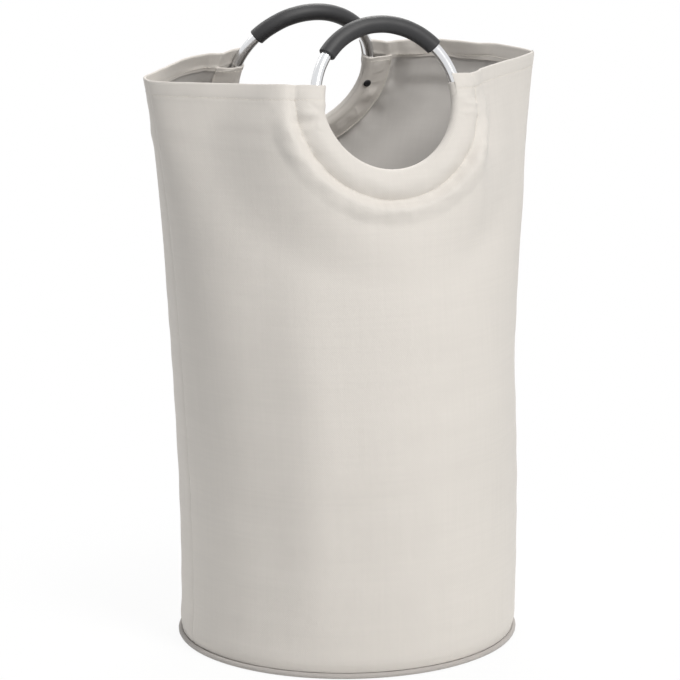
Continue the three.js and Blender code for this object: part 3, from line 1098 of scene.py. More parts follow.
@dataclass
class Rays:
    """Rows of half a tunnel's cloth, from its hem's raw edge inside to straight down.

    A hem ray keeps its drop below the fold. A free ray turns by a share of the way from the hem to
    straight down. Top is the height of the fold over the ring's middle, up the handle's plane.
    Release holds the distances from that middle between which the seam's pull fades, if it does.
    """

    side: Side
    hem: Hem
    top: float
    free: int
    release: tuple[float, float] | None = None

    def __post_init__(self) -> None:
        """Works out the columns of one value for each ray."""
        self.drops, depths = np.array(self.hem.rows()).T
        rows, none = len(self.drops), np.zeros(self.free)
        self.in_hem = (np.arange(rows + self.free) < rows)[:, None]
        self.drop = np.concatenate([self.drops, none])[:, None]
        self.depth = np.concatenate([depths, none])[:, None]
        shares = np.arange(1, self.free + 1) / self.free
        self.turn = np.concatenate([np.zeros(rows), shares])[:, None]

    def spot(self, radius: Array) -> tuple[Array, Array]:
        """Finds the place of each ray at distances from the ring's middle, in the handle's plane.

        Args:
            radius: Distances from the ring's middle.

        Returns:
            Distance aside and distance up the plane.
        """
        pull = smoothstep(radius, *BAG.seam_pull)
        if self.release:
            pull = pull * (1 - smoothstep(radius, *self.release))
        cosine = self.side.cosine
        start = np.arccos((self.top - self.hem.width / cosine) / radius)
        turn = between(start, math.pi, self.turn)
        level = self.top - self.drop / cosine
        up = np.where(self.in_hem, level, radius * np.cos(turn))
        radius = radius - BAG.seam_draw * (1 - (up / radius) ** 2) * pull
        up = np.where(self.in_hem, level, radius * np.cos(turn))
        return np.sqrt(radius**2 - up**2), up


# Turns of the yoke's columns round the tube, from inside the hole over the front.
WRAPS = np.radians(
    [206, 200, 194, 188, 182, 176, 168, 160, 152, 144, 137, 130, 124, 118, 113, 109, 105]
)
# Shares of the columns from the tube to the tunnel's seam.
SLOPES = np.linspace(0, 1, 13)
# Shares of the columns from the ridge to the yoke's edge.
SHARES = np.array(
    [0.05, 0.11, 0.17, 0.24, 0.31, 0.38, 0.45, 0.52, 0.59, 0.66, 0.73, 0.8, 0.85, 0.89, 0.925]
    + [0.95, 0.968, 0.982, 0.993, 1.0]
)


@dataclass
class Yoke:
    """The upper wall of one side, from the fold over the tube to the side seams, with its hem."""

    side: Side
    finishes: Finishes
    tube_radius: float = 6.0 * MM
    tunnel_cloth: float = 1.5 * MM
    wrap_start: float = math.radians(206)
    wrap_stop: float = math.radians(105)
    casing_swell: float = 2.8 * MM
    seam_radius: float = 109.0 * MM
    seam_sink: float = -0.4 * MM
    # Distance from the end of the tunnel's slope to its seam.
    seam_flat: float = 1.2 * MM
    ridge_height: float = 7.4 * MM
    zone_radius: float = 140.0 * MM
    # Distance from the ring's middle where the pull of the tunnel's seam begins to fade.
    release_radius: float = 125.0 * MM
    # Distance from the middle of the bag, and two heights, for a bend of the cloth not made here.
    bend_place: float = 0.155
    bend_heights: tuple[float, float] = (0.48, 0.53)
    seam_rays: int = 44
    bottom_rays: int = 52
    hem: Hem = Hem(20 * MM, 16 * MM, 3.1 * MM)
    stitch: Stitching = Stitching()
    ridge_swell: Ruffle = Ruffle(0.55, 0.034)
    ridge_ripple: Ruffle = Ruffle(0.25, 0.013, 2)
    seam_puckers: Ruffle = Ruffle(1.8 * MM, 0.013, 5)
    slope_puckers: Ruffle = Ruffle(1.6 * MM, 0.024, 6)
    tucks: Ruffle = Ruffle(6.0 * MM, 0.018, 8, (0.6, 0.6, 1.7))
    tuck_creases: Ruffle = Ruffle(1.3 * MM, 0.021, 30, (0.8, 0.8, 1.3))
    limp_folds: Ruffle = Ruffle(3.8 * MM, 0.030, 11, (0.35, 0.35, 1.6))
    gathers: Ruffle = Ruffle(5.0 * MM, 0.014, 14, (1, 1, 0.2))

    def __post_init__(self) -> None:
        """Lays out the rays, and the columns of the tunnel's seam and ridge."""
        free = self.seam_rays + len(self.bottom_angles()) - 1
        release = (self.release_radius, self.zone_radius)
        self.rays = Rays(self.side, self.hem, self.side.rim_up, free, release)
        near = self.seam_radius + np.array([-0.6, 0, 0.6, 1.6, 3.0, 4.6]) * MM
        far = np.linspace(self.seam_radius + 6.4 * MM, self.zone_radius, 14)
        self.reaches = np.concatenate([near, far])

    @property
    def over_radius(self) -> float:
        """Radius of the cloth's outer face round the tube."""
        return self.tube_radius + BAG.gap + self.tunnel_cloth

    @property
    def slope_end(self) -> float:
        """Distance from the ring's tube to the end of the tunnel's slope."""
        return self.seam_radius - BAG.ring_radius - self.seam_flat

    def bottom_angles(self) -> Array:
        """Seam angles of the rays that end on the lower edge, from the right seam to the middle."""
        even = np.linspace(0, math.pi / 2, self.bottom_rays - 3)
        close = np.array([1.5, 3.5, 6.0]) * MM / BAG.base_radius
        return np.sort(np.concatenate([even, close]))

    def ends(self) -> tuple[Array, Array]:
        """Finds where the rays of a half end: on the rim, on the side seam or on the lower edge.

        Returns:
            Seam angle and height of each ray's end, as columns.
        """
        drops, angles = self.rays.drops, self.bottom_angles()[1:]
        shares = np.arange(1, self.seam_rays + 1) / self.seam_rays
        seam = between(BAG.rim_height - self.hem.width, BAG.split_height, shares)
        angle = np.concatenate([0 * drops, 0 * seam, angles])
        z = np.concatenate([BAG.rim_height - drops, seam, angles * 0 + BAG.split_height])
        return angle[:, None], z[:, None]

    def near_hem(self, level: Array) -> Array:
        """Share of the hem's shape in the tunnel, 1 at the hem and 0 below it, at levels."""
        return 1 - smoothstep((self.side.rim_up - level) * self.side.cosine, 19 * MM, 32 * MM)

    def half_layout(self, corner: Corner) -> Layout:
        """Lays out the half towards a side seam, as if it were the right one.

        Args:
            corner: The side seam.

        Returns:
            Seam angle, height, height over the face in the tunnel, and distance from the ring's
            middle.
        """
        side = self.side
        level = self.rays.spot(np.full((1, 1), BAG.ring_radius))[1]
        in_hem = self.near_hem(level)
        full = self.wrap_start - self.wrap_stop
        reach = between(1, (side.wrap_ends[corner] - self.wrap_stop) / full, in_hem)
        turns = self.wrap_stop + (WRAPS - self.wrap_stop) * reach
        over = self.over_radius * between(1, side.hem_swell[corner], in_hem)
        offset, height = over * np.cos(turns), over * np.sin(turns)
        share = SLOPES[1:-1]
        slope = between(offset[:, -1:], self.slope_end, share)
        down = 0.2 * share + 0.8 * share**2.2
        swell = self.casing_swell * np.sin(math.pi * share) * (1 - 0.85 * in_hem)
        fall = between(height[:, -1:], -self.seam_sink, down) + swell
        wide = np.broadcast_to(self.reaches, (len(level), len(self.reaches)))
        radius = np.concatenate([BAG.ring_radius + np.concatenate([offset, slope], 1), wide], 1)
        x, up = self.rays.spot(radius)
        z = side.ring_height + up * side.cosine
        angle = BAG.angle_at(x, z)
        end_angle, end_z = self.ends()
        far_angle = between(angle[:, -1:], end_angle, SHARES)
        far_z = between(z[:, -1:], end_z, SHARES)
        aside = BAG.smooth_face(side, far_angle, far_z)[..., 0]
        far = np.hypot(aside, (far_z - side.ring_height) / side.cosine)
        flat = np.zeros((len(level), len(self.reaches) + len(SHARES)))
        return (
            np.concatenate([angle, far_angle], axis=1),
            np.concatenate([z, far_z], axis=1),
            np.concatenate([height, fall, flat], axis=1),
            np.concatenate([radius, np.maximum(far, self.zone_radius)], axis=1),
        )

    def detail(self, points: Array, z: Array, lift: Array, reach: Array) -> Array:
        """Works out the tunnel, ridge, puckers and hem over the wrinkled face.

        Args:
            points: Points on the smooth face.
            z: Their heights.
            lift: Height of the tunnel's section.
            reach: Distance from the ring's middle before the seam is drawn in.

        Returns:
            The height with its uneven parts, in metres.
        """
        side, seed, seam = self.side, self.side.yoke_seed, self.seam_radius
        drop = BAG.rim_height + side.rim_rise - z
        # The ridge of slack cloth outside the seam, and the seam's own groove.
        ends = (1 - smoothstep(reach, 0.120, 0.140), 1 - smoothstep(reach, 0.120, 0.190))
        rise = smoothstep(reach, seam + 0.5 * MM, 0.122) * between(*ends, 0.18)
        uneven = 1 + self.ridge_swell.waves(points, seed) + self.ridge_ripple.waves(points, seed)
        low = between(0.25, 1.0, smoothstep(drop, 14 * MM, 44 * MM))
        ridge = self.ridge_height * rise * low * uneven
        out = smoothstep(reach, seam - 1 * MM, seam)
        sink = -self.seam_sink * (1 - smoothstep(reach, seam, 0.114)) * out
        stitched = -0.5 * MM * bell(reach, seam, 1.2 * MM)
        # Puckers along the seam and on the tunnel's slope.
        puckers = self.seam_puckers.waves(points, seed) * bell(reach, seam, 8 * MM)
        puckers = puckers + self.slope_puckers.waves(points, seed) * bell(reach, 0.094, 10 * MM)
        # Tucks under the hem, where the cloth is gathered on the tube.
        tucks = self.tucks.waves(points, seed) * bell(drop, 33 * MM, 15 * MM)
        creases = self.tuck_creases.creases(points, seed) * bell(drop, 33 * MM, 17 * MM)
        tucks = (tucks - creases) * bell(reach, 0.096, 14 * MM)
        # The doubled hem, and the slack of the rim between the tunnel and the side seam.
        hem = 0.45 * MM * (1 - smoothstep(drop, 17.5 * MM, 21 * MM))
        hem = hem * smoothstep(reach, 0.094, 0.108)
        hem_stitch = -0.45 * MM * bell(drop, self.hem.stitch_drop, 1.2 * MM)
        loose = smoothstep(reach, 0.112, 0.135)
        loose = loose * smoothstep(np.abs(points[..., 1]), 3 * MM, 32 * MM)
        limp = self.limp_folds.waves(points, seed) * bell(drop, 52 * MM, 30 * MM)
        gathers = self.gathers.waves(points, seed) * (1 - smoothstep(drop, 16 * MM, 24 * MM))
        if side is FRONT:
            limp, gathers = 0.35 * limp, 0.2 * gathers
        else:
            gathers = gathers * between(0.2, 1.0, smoothstep(points[..., 0], 0, 0.15))
        slack = loose * (limp + gathers)
        return lift + ridge + sink + stitched + puckers + tucks + slack + hem + hem_stitch

    def build(self) -> None:
        """Makes the yoke and its stitching."""
        side = self.side
        right, left = self.half_layout(Corner.RIGHT), self.half_layout(Corner.LEFT)
        angle = whole(right[0], math.pi - left[0])
        z, lift, reach = (whole(*pair) for pair in zip(right[1:], left[1:]))
        depth = whole(self.rays.depth, self.rays.depth)
        smooth = BAG.smooth_face(side, angle, z)
        normal = BAG.normal(side, angle, z)
        wrinkle = BAG.wrinkles(side, smooth, angle, z) * smoothstep(reach, 0.105, 0.150)
        face = smooth + normal * (wrinkle + self.detail(smooth, z, lift, reach))[..., None]
        outward = Vector((0, side.direction, 0))
        facing = self.hem.normals(face, outward)
        folded = face - facing * depth[..., None]
        seam = BAG.on_seam(angle)
        in_seam = np.broadcast_to(depth, angle.shape)[seam]
        folded[seam, 0] = face[seam, 0] - in_seam / normal[seam, 0]
        folded[seam, 1] = 0.0
        mesh = ClothSheet(folded, flat_pattern(side, angle, z), outward).mesh(BAG.cloth, side)
        name, finishes = f"{side.name}_upper_wall", self.finishes
        cloth = finished(name, mesh, finishes.body, finishes.coating)
        declared(cloth, Slot.CLOTH, side.panel, "left_rim_band", "right_rim_band")
        self.bend_with_handle(cloth)
        self.sew(folded, facing)

    def sew(self, points: Array, normals: Array) -> None:
        """Sews the hem on both faces and the tunnel's seam outside.

        Args:
            points: The yoke's points.
            normals: Outward normals of the unfolded face.
        """
        inside, outside = self.hem.stitch_rows()
        last = len(points) - 1
        over, seam = len(WRAPS) // 2, len(WRAPS) + len(SLOPES) - 1
        rows = [(row, over, 1) for row in (outside, last - outside)]
        rows += [(row, seam + 5, -1) for row in (inside, last - inside)]
        mesh = bmesh.new()
        for row, start, sign in rows:
            self.stitch.sew(mesh, points[row, start:-2], sign * normals[row, start:-2])
        arc = slice(outside + 2, last - outside - 1)
        self.stitch.sew(mesh, points[arc, seam], normals[arc, seam])
        sewing = finished(f"{self.side.name}_hem_stitching", mesh, self.finishes.thread)
        self.bend_with_handle(declared(sewing, Slot.CLOTH))

    def bend_with_handle(self, piece: Object) -> None:
        """Bakes a piece's place into its mesh.

        Args:
            piece: The cloth or its stitching.
        """
        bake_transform(piece)


@dataclass
class LowerWall:
    """The wall of one side below the yoke."""

    yoke: Yoke
    row_step: float = 5.6 * MM
    # Rows of the tight turn at the piping, and the first of the even rows over it.
    foot_rows: tuple[float, ...] = (6.5 * MM, 8.5 * MM, 11 * MM, 14 * MM)
    first_row: float = 17 * MM

    def build(self) -> None:
        """Makes the sheet and lets it ride on the base."""
        side, finishes = self.yoke.side, self.yoke.finishes
        right = self.yoke.bottom_angles()
        count = round((BAG.split_height - BAG.wall_foot) / self.row_step)
        even = np.linspace(self.first_row, BAG.split_height, count)
        heights = np.concatenate([self.foot_rows, even])
        angle, z = np.meshgrid(whole(right, math.pi - right), heights)
        smooth = BAG.smooth_face(side, angle, z)
        lift = BAG.wrinkles(side, smooth, angle, z)
        face = smooth + BAG.normal(side, angle, z) * lift[..., None]
        face[BAG.on_seam(angle), 1] = 0.0
        sheet = ClothSheet(face, flat_pattern(side, angle, z), Vector((0, side.direction, 0)))
        mesh = sheet.mesh(BAG.cloth, side)
        cloth = finished(f"{side.name}_lower_wall", mesh, finishes.body, finishes.coating)
        flattens(declared(cloth, Slot.CLOTH, side.panel))


@dataclass
class SeamTape:
    """Tape over one side seam inside the bag, in a lower and an upper length."""

    corner: Corner
    finishes: Finishes
    width: float = 18 * MM
    thickness: float = 0.9 * MM
    foot: float = 18.8 * MM
    head: float = 0.629
    # Seam angle within which each edge of the tape lies.
    reach: float = 0.22

    def half_line(self, side: Side, height: float) -> Array:
        """Lays the tape from the side seam to one of its edges at a height.

        Args:
            side: Front or back half.
            height: The height.

        Returns:
            Points of the tape's outer face, from the seam to the edge.
        """
        turn = np.linspace(0, self.reach, 60)
        angle = turn if self.corner is Corner.RIGHT else math.pi - turn
        z = np.full_like(angle, height)
        smooth = BAG.smooth_face(side, angle, z)
        lift = BAG.wrinkles(side, smooth, angle, z) - (BAG.cloth + BAG.gap)
        line = smooth + BAG.normal(side, angle, z) * lift[:, None]
        line = line[side.direction * line[:, 1] >= 0]
        line = np.concatenate([line[:1] * (1, 0, 1), line])
        return sampled(line, travelled(line), np.linspace(0, self.width / 2, 6))

    def strip(self, name: str, heights: Array) -> Object:
        """Makes one length of tape.

        Args:
            name: Its name.
            heights: Heights of its rows.

        Returns:
            The tape.
        """
        rows = []
        for height in heights:
            front, back = (self.half_line(side, height) for side in (FRONT, BACK))
            rows.append(np.concatenate([front[:0:-1], [(front[0] + back[0]) / 2], back[1:]]))
        across = np.linspace(-self.width / 2, self.width / 2, len(rows[0]))
        flat = np.stack(np.broadcast_arrays(across[None, :], heights[:, None]), axis=-1)
        sheet = ClothSheet(np.array(rows), flat, Vector((self.corner.value, 0, 0)))
        return finished(name, sheet.mesh(self.thickness), self.finishes.tape)

    def build(self) -> None:
        """Makes the lower length, which rides on the base, and the upper one, which rides on the
        rim.
        """
        node = f"{self.corner.name.lower()}_seam_tape"
        lower = self.strip(f"{node}_lower", np.linspace(self.foot, BAG.split_height, 60))
        flattens(declared(lower, Slot.TAPE, node))
        upper = self.strip(f"{node}_upper", np.linspace(BAG.split_height, self.head, 30))
        declared(upper, Slot.TAPE, node, body="rim")


# The base


@dataclass
class Base:
    """The round base: two cloth discs with a board between them, the piping and the tape inside."""

    finishes: Finishes
    disc_radius: float = 186.9 * MM
    cloth: float = 1.2 * MM
    edge: float = 0.4 * MM
    lining_bottom: float = 4.3 * MM
    # The lining's waves: least height, swing, how close they are, and where they fade out.
    wave_least: float = 0.2 * MM
    wave_swing: float = 0.5 * MM
    wave_pace: float = 14
    wave_fade: tuple[float, float] = (0.15, 0.184)
    piping_centre: float = 190.2 * MM
    piping_height: float = 3.2 * MM
    piping_radius: float = 3.0 * MM
    piping_cloth: float = 0.6 * MM
    # Half of the turn left open at the seam of the piping.
    piping_opening: float = 0.17
    # Turns of the cord's three strands in one turn round the base.
    cord_lay: int = 240
    cord_groove: float = 0.12
    tape_radius: float = 188.1 * MM
    tape_thickness: float = 1.2 * MM
    tape_bottom: float = 6.5 * MM
    tape_top: float = 18.5 * MM
    steps: int = 160

    def build(self) -> None:
        """Makes the pieces of the base and dresses its board."""
        self.disc("base_sole", "base_cloth", 0.0)
        self.disc("base_floor", "base_lining", self.lining_bottom, self.wave)
        self.tape()
        self.piping()
        self.cord()
        dress_node("base_board", self.finishes.board)

    def disc(self, name: str, node: str, bottom: float, wobble: Wobble = None) -> None:
        """Makes a cloth disc, with its weave laid straight across it.

        Args:
            name: Name of the piece.
            node: The CAD node it replaces.
            bottom: Height of its underside.
            wobble: Shift of each point, if any.
        """
        profile = flat_disc(self.disc_radius, bottom, self.cloth, self.edge)
        mesh = spun(profile, self.steps, wobble)
        layer = mesh.loops.layers.uv["flat"]
        for face in mesh.faces:
            for loop in face.loops:
                loop[layer].uv = loop.vert.co.xy
        declared(finished(name, mesh, self.finishes.body), Slot.CLOTH, node, body="base")

    def wave(self, point: Vector) -> Vector:
        """Lays the top of the lining in very soft waves.

        Args:
            point: A point of the lining.

        Returns:
            Its shift.
        """
        fade = 1 - smoothstep(math.hypot(point.x, point.y), *self.wave_fade)
        lift = self.wave_least + self.wave_swing * noise.noise(point * self.wave_pace)
        return Vector((0, 0, lift * fade * (point.z > self.lining_bottom + self.cloth / 2)))

    def tape(self) -> None:
        """Makes the tape over the raw edges inside the foot of the wall."""
        inner, outer = self.tape_radius - self.tape_thickness, self.tape_radius
        low, high, edge = self.tape_bottom, self.tape_top, self.edge
        middle = (inner + outer) / 2
        profile = [
            (inner, low + edge),
            (middle, low),
            (outer, low + edge),
            (outer, high - edge),
            (middle, high),
            (inner, high - edge),
            (inner - 0.2 * MM, (low + high) / 2),
        ]
        made = finished("base_edge_tape", spun(profile, self.steps), self.finishes.tape)
        declared(made, Slot.TAPE, "base_seam_tape", body="base")

    def round_cord(self, radius: float, turns: Sequence[float]) -> list[tuple[float, float]]:
        """Points of an arc round the middle of the piping's cord, as radius and height."""
        centre, height = self.piping_centre, self.piping_height
        return [(centre + radius * math.cos(t), height + radius * math.sin(t)) for t in turns]

    def from_cord(self, point: Vector) -> tuple[Vector, Vector]:
        """Finds where a point of the piping lies.

        Args:
            point: The point.

        Returns:
            The direction out of the base there, and the way to the point from the cord's middle.
        """
        out = Vector((point.x, point.y, 0)).normalized()
        return out, point - (out * self.piping_centre + Vector((0, 0, self.piping_height)))

    def pucker(self, point: Vector) -> Vector:
        """Puckers the piping's cloth slightly, all but its foot.

        Args:
            point: A point of the cloth.

        Returns:
            Its shift.
        """
        if point.z <= self.piping_height - self.piping_radius + 0.6 * MM:
            return Vector()
        push = 0.22 * MM * noise.noise(point * 120) - 0.05 * MM
        return self.from_cord(point)[1].normalized() * push

    def piping(self) -> None:
        """Makes the cloth strip folded round the cord."""
        reach = math.pi - self.piping_opening
        turns = np.linspace(-reach, reach, 25)
        profile = self.round_cord(self.piping_radius, turns)
        profile += self.round_cord(self.piping_radius - self.piping_cloth, turns[::-1])
        mesh = spun(profile, 2 * self.steps, self.pucker)
        made = finished("piping_strip", mesh, self.finishes.piping)
        declared(made, Slot.PIPING, "piping_cover", body="base")

    def twist(self, point: Vector) -> Vector:
        """Sinks the grooves between the cord's three strands.

        Args:
            point: A point of the cord.

        Returns:
            Its shift.
        """
        out, away = self.from_cord(point)
        lay = math.atan2(away.z, away.dot(out)) * 3
        lay -= self.cord_lay * math.atan2(point.y, point.x)
        return away * (-self.cord_groove + self.cord_groove * math.cos(lay))

    def cord(self) -> None:
        """Makes the three-strand filler cord inside the piping."""
        radius = self.piping_radius - self.piping_cloth - BAG.gap
        profile = self.round_cord(radius, np.linspace(0, FULL_TURN, 13)[:-1])
        mesh = spun(profile, 6 * self.steps, self.twist)
        made = finished("piping_filler", mesh, self.finishes.cord)
        declared(made, Slot.CORD, "piping_cord", body="base")


# The handles


@dataclass
class Facing:
    """The inner cloth of a tunnel, from the yoke's edge over the tube to the tunnel's seam."""

    yoke: Yoke
    cloth: float = 0.9 * MM
    wrap_stop: float = math.radians(287)
    # Turn by which it starts past the yoke's edge.
    lap_turn: float = math.radians(2)
    low: float = -3.5 * MM
    free_rays: int = 150
    hem: Hem = Hem(7 * MM, 4.5 * MM, 2.0 * MM)
    stitch: Stitching = Stitching()
    puckers: Ruffle = Ruffle(3.4 * MM, 0.015)
    humps: Ruffle = Ruffle(2.0 * MM, 0.03, 3)
    creases: Ruffle = Ruffle(0.7 * MM, 0.022, 9)

    def __post_init__(self) -> None:
        """Lays out the rays, whose drops count from the mouth of the tunnel."""
        side = self.yoke.side
        top = side.rim_up - side.mouth_drop / side.cosine
        self.rays = Rays(side, self.hem, top, self.free_rays)

    def half_layout(self, corner: Corner) -> Layout:
        """Lays out the half towards a side seam, as if it were the right one.

        Args:
            corner: The side seam.

        Returns:
            Distance aside, distance up the plane, height over the plane, and distance from the
            ring's middle.
        """
        yoke, side = self.yoke, self.yoke.side
        level = self.rays.spot(np.full((1, 1), BAG.ring_radius))[1]
        start = between(yoke.wrap_start, side.wrap_ends[corner], yoke.near_hem(level))
        turns = between(start + self.lap_turn, self.wrap_stop, np.linspace(0, 1, 14) ** 0.9)
        offset, height = yoke.over_radius * np.cos(turns), yoke.over_radius * np.sin(turns)
        share = SLOPES[1:]
        slope = between(offset[:, -1:], yoke.slope_end, share)
        drop = (side.rim_up - level) * side.cosine
        low = self.low - 1.7 * MM * (1 - smoothstep(drop, 20 * MM, 26 * MM))
        fall = between(height[:, -1:], low, share) - 0.9 * MM * np.sin(math.pi * share)
        edge = np.array([-0.6, 0.0, 0.6, 1.4, 2.0]) * MM + yoke.seam_radius - BAG.ring_radius
        sink = np.array([0.2, 0.4, 0.2, 0.1, 0.5]) * MM
        radius = BAG.ring_radius + np.concatenate([offset, slope, edge + 0 * level], axis=1)
        height = np.concatenate([height, fall, low + sink], axis=1)
        return *self.rays.spot(radius), height, radius

    def points(self) -> tuple[Array, Array]:
        """Lays out the unfolded facing on the side that shows in the bag.

        Returns:
            Its points and their flat pattern.
        """
        side = self.yoke.side
        right, left = self.half_layout(Corner.RIGHT), self.half_layout(Corner.LEFT)
        x = whole(right[0], -left[0])
        up, height, radius = (whole(*pair) for pair in zip(right[1:], left[1:]))
        arc = np.stack([np.arctan2(x, up) * BAG.ring_radius, radius * 0.3, 0 * x], axis=-1)
        seed = side.facing_seed
        uneven = self.puckers.waves(arc, seed) + self.humps.waves(arc, seed)
        uneven = uneven - self.creases.creases(arc, seed)
        held = between(1.0, 0.2, smoothstep(radius, 99 * MM, 104 * MM))
        height = height + (uneven - 0.4 * MM) * (smoothstep(radius, 84 * MM, 92 * MM) * held)
        turned = np.array(side.matrix)
        placed = np.stack([x, side.direction * height, up], axis=-1) @ turned[:3, :3].T
        placed = placed + turned[:3, 3]
        plane = side.direction * BAG.plane_depth(side, placed[..., 2])
        sway = BAG.sway(side, placed[..., 0], plane, placed[..., 2])
        placed[..., 1] += sway * smoothstep(radius, 94 * MM, 102 * MM)
        return placed, np.stack([x, up], axis=-1)

    def build(self) -> None:
        """Makes the facing and its stitching, and lets both ride on the handle."""
        side, finishes = self.yoke.side, self.yoke.finishes
        points, flat = self.points()
        inward = -side.matrix.to_3x3().col[1] * side.direction
        normals = self.hem.normals(points, inward)
        folded = points - normals * whole(self.rays.depth, self.rays.depth)[..., None]
        mesh = ClothSheet(folded, flat, inward).mesh(self.cloth)
        cloth = finished(f"{side.name}_tunnel_facing", mesh, finishes.body)
        declared(cloth, Slot.CLOTH, f"{side.name}_handle_casing", body=side.handle_body)
        rows, edge, last = len(self.rays.drops), self.hem.stitch_rows()[1], len(points) - 1
        mesh = bmesh.new()
        arc = slice(rows, last - rows + 1)
        self.stitch.sew(mesh, points[arc, -4], normals[arc, -4])
        for row in (edge, last - edge):
            self.stitch.sew(mesh, points[row, 4:-1], normals[row, 4:-1])
        sewing = finished(f"{side.name}_tunnel_stitching", mesh, finishes.thread)
        declared(sewing, Slot.CLOTH, body=side.handle_body)


@dataclass
class Handle:
    """A ring of bent tube with a foam grip, held in its tunnel by two rivets."""

    side: Side
    finishes: Finishes
    tube_radius: float = 6.0 * MM
    tube_wall: float = 1.0 * MM
    end_gap: float = 1.0 * MM
    grip_radius: float = 9.5 * MM
    grip_bore: float = 6.3 * MM
    grip_reach: float = math.radians(50)
    grip_edge: float = 1.6 * MM
    grip_dents: float = 0.16 * MM
    rivet_angle: float = math.radians(100)
    rivet_seat: float = 8.1 * MM
    rivet_radius: float = 4.6 * MM
    rivet_height: float = 2.2 * MM
    rivet_rim: float = 0.5 * MM
    rivet_steps: int = 24
    shank_radius: float = 1.7 * MM
    shank_length: float = 5.0 * MM

    def on_ring(self, angle: float) -> Matrix:
        """Shift to the ring's centreline at an angle from its top, in the handle's own frame."""
        radius = BAG.ring_radius
        return Matrix.Translation((radius * math.sin(angle), 0, radius * math.cos(angle)))

    def sleeve(
        self, outer: float, inner: float, ends: tuple[float, float], steps: int, sides: int
    ) -> BMesh:
        """Makes a hollow tube along the ring, in the handle's own frame.

        Args:
            outer: Outer radius.
            inner: Bore radius.
            ends: Ring angles of its ends, counted from the top.
            steps: Steps along the ring.
            sides: Sides of the tube.

        Returns:
            The closed body.
        """
        mesh = bmesh.new()
        start, stop = ends
        place = self.on_ring(start) @ Matrix.Rotation(start, 4, "Y")
        place = place @ Matrix.Rotation(math.pi / 2, 4, "Y")
        rings = []
        for radius in (outer, inner):
            made = bmesh.ops.create_circle(mesh, segments=sides, radius=radius, matrix=place)
            rings += {edge for vert in made["verts"] for edge in vert.link_edges}
        faces = bmesh.ops.bridge_loops(mesh, edges=list(dict.fromkeys(rings)))["faces"]
        bmesh.ops.spin(
            mesh, geom=faces, cent=(0, 0, 0), axis=(0, 1, 0), angle=stop - start, steps=steps
        )
        bmesh.ops.remove_doubles(mesh, verts=mesh.verts, dist=0.002 * MM)
        bmesh.ops.recalc_face_normals(mesh, faces=mesh.faces)
        return mesh

    def turns(self, point: Vector) -> tuple[float, float]:
        """Ring angle of a point, and its angle round the tube."""
        out = math.hypot(point.x, point.z) - BAG.ring_radius
        return math.atan2(point.x, point.z) % FULL_TURN, math.atan2(point.y, out)

    def placed(self, name: str, node: str, slot: Slot, mesh: BMesh, material: Material) -> Object:
        """Moves a piece from the handle's own frame to its place on the handle.

        Args:
            name: Name of the piece, after the side's.
            node: Name of the CAD node it replaces, after the side's.
            slot: The record's material slot.
            mesh: Its bmesh.
            material: Its material.

        Returns:
            The piece.
        """
        bmesh.ops.transform(mesh, matrix=self.side.matrix, verts=mesh.verts)
        made = finished(f"{self.side.name}_{name}", mesh, material)
        return declared(made, slot, f"{self.side.name}_{node}", body=self.side.handle_body)

    def tube(self) -> None:
        """Makes the ring of tube, open by a hair's breadth under the grip, with its flat map."""
        reach = self.end_gap / 2 / BAG.ring_radius
        bore = self.tube_radius - self.tube_wall
        mesh = self.sleeve(self.tube_radius, bore, (reach, FULL_TURN - reach), 144, 28)
        layer = mesh.loops.layers.uv.new("flat")
        for face in mesh.faces:
            middle = self.turns(face.calc_center_median())
            for loop in face.loops:
                pairs = zip(self.turns(loop.vert.co), middle)
                along, across = (
                    near + FULL_TURN * round((far - near) / FULL_TURN) for near, far in pairs
                )
                loop[layer].uv = (along * BAG.ring_radius, across * self.tube_radius)
        self.placed("tube", "ring_tube", Slot.METAL, mesh, self.finishes.metal)

    def grip(self) -> None:
        """Makes the foam sleeve, with rounded ends and a slightly uneven surface."""
        ends = (-self.grip_reach, self.grip_reach)
        mesh = self.sleeve(self.grip_radius, self.grip_bore, ends, 84, 40)
        rounded = [edge for edge in mesh.edges if all(map(self.on_end, edge.verts))]
        edge = {"offset": self.grip_edge, "offset_type": "OFFSET", "segments": 4, "profile": 0.5}
        bmesh.ops.bevel(mesh, geom=rounded, affect="EDGES", material=-1, **edge)
        seed = Vector((self.side.direction * 9, 0, 0))
        for vert in mesh.verts:
            vert.co += vert.normal * self.grip_dents * noise.noise(vert.co * 70 + seed)
        foam = self.finishes.foam
        self.placed("foam_grip", "grip", Slot.GRIP, mesh, foam)

    def on_end(self, vert: BMVert) -> bool:
        """Tells whether a vertex lies on the outer edge of an end of the grip.

        Args:
            vert: The vertex.

        Returns:
            True on the edge.
        """
        x, y, z = vert.co
        reach = math.hypot(math.hypot(x, z) - BAG.ring_radius, y)
        at_end = abs(abs(math.atan2(x, z)) - self.grip_reach) < ON_END
        return at_end and abs(reach - self.grip_radius) < 0.05 * MM

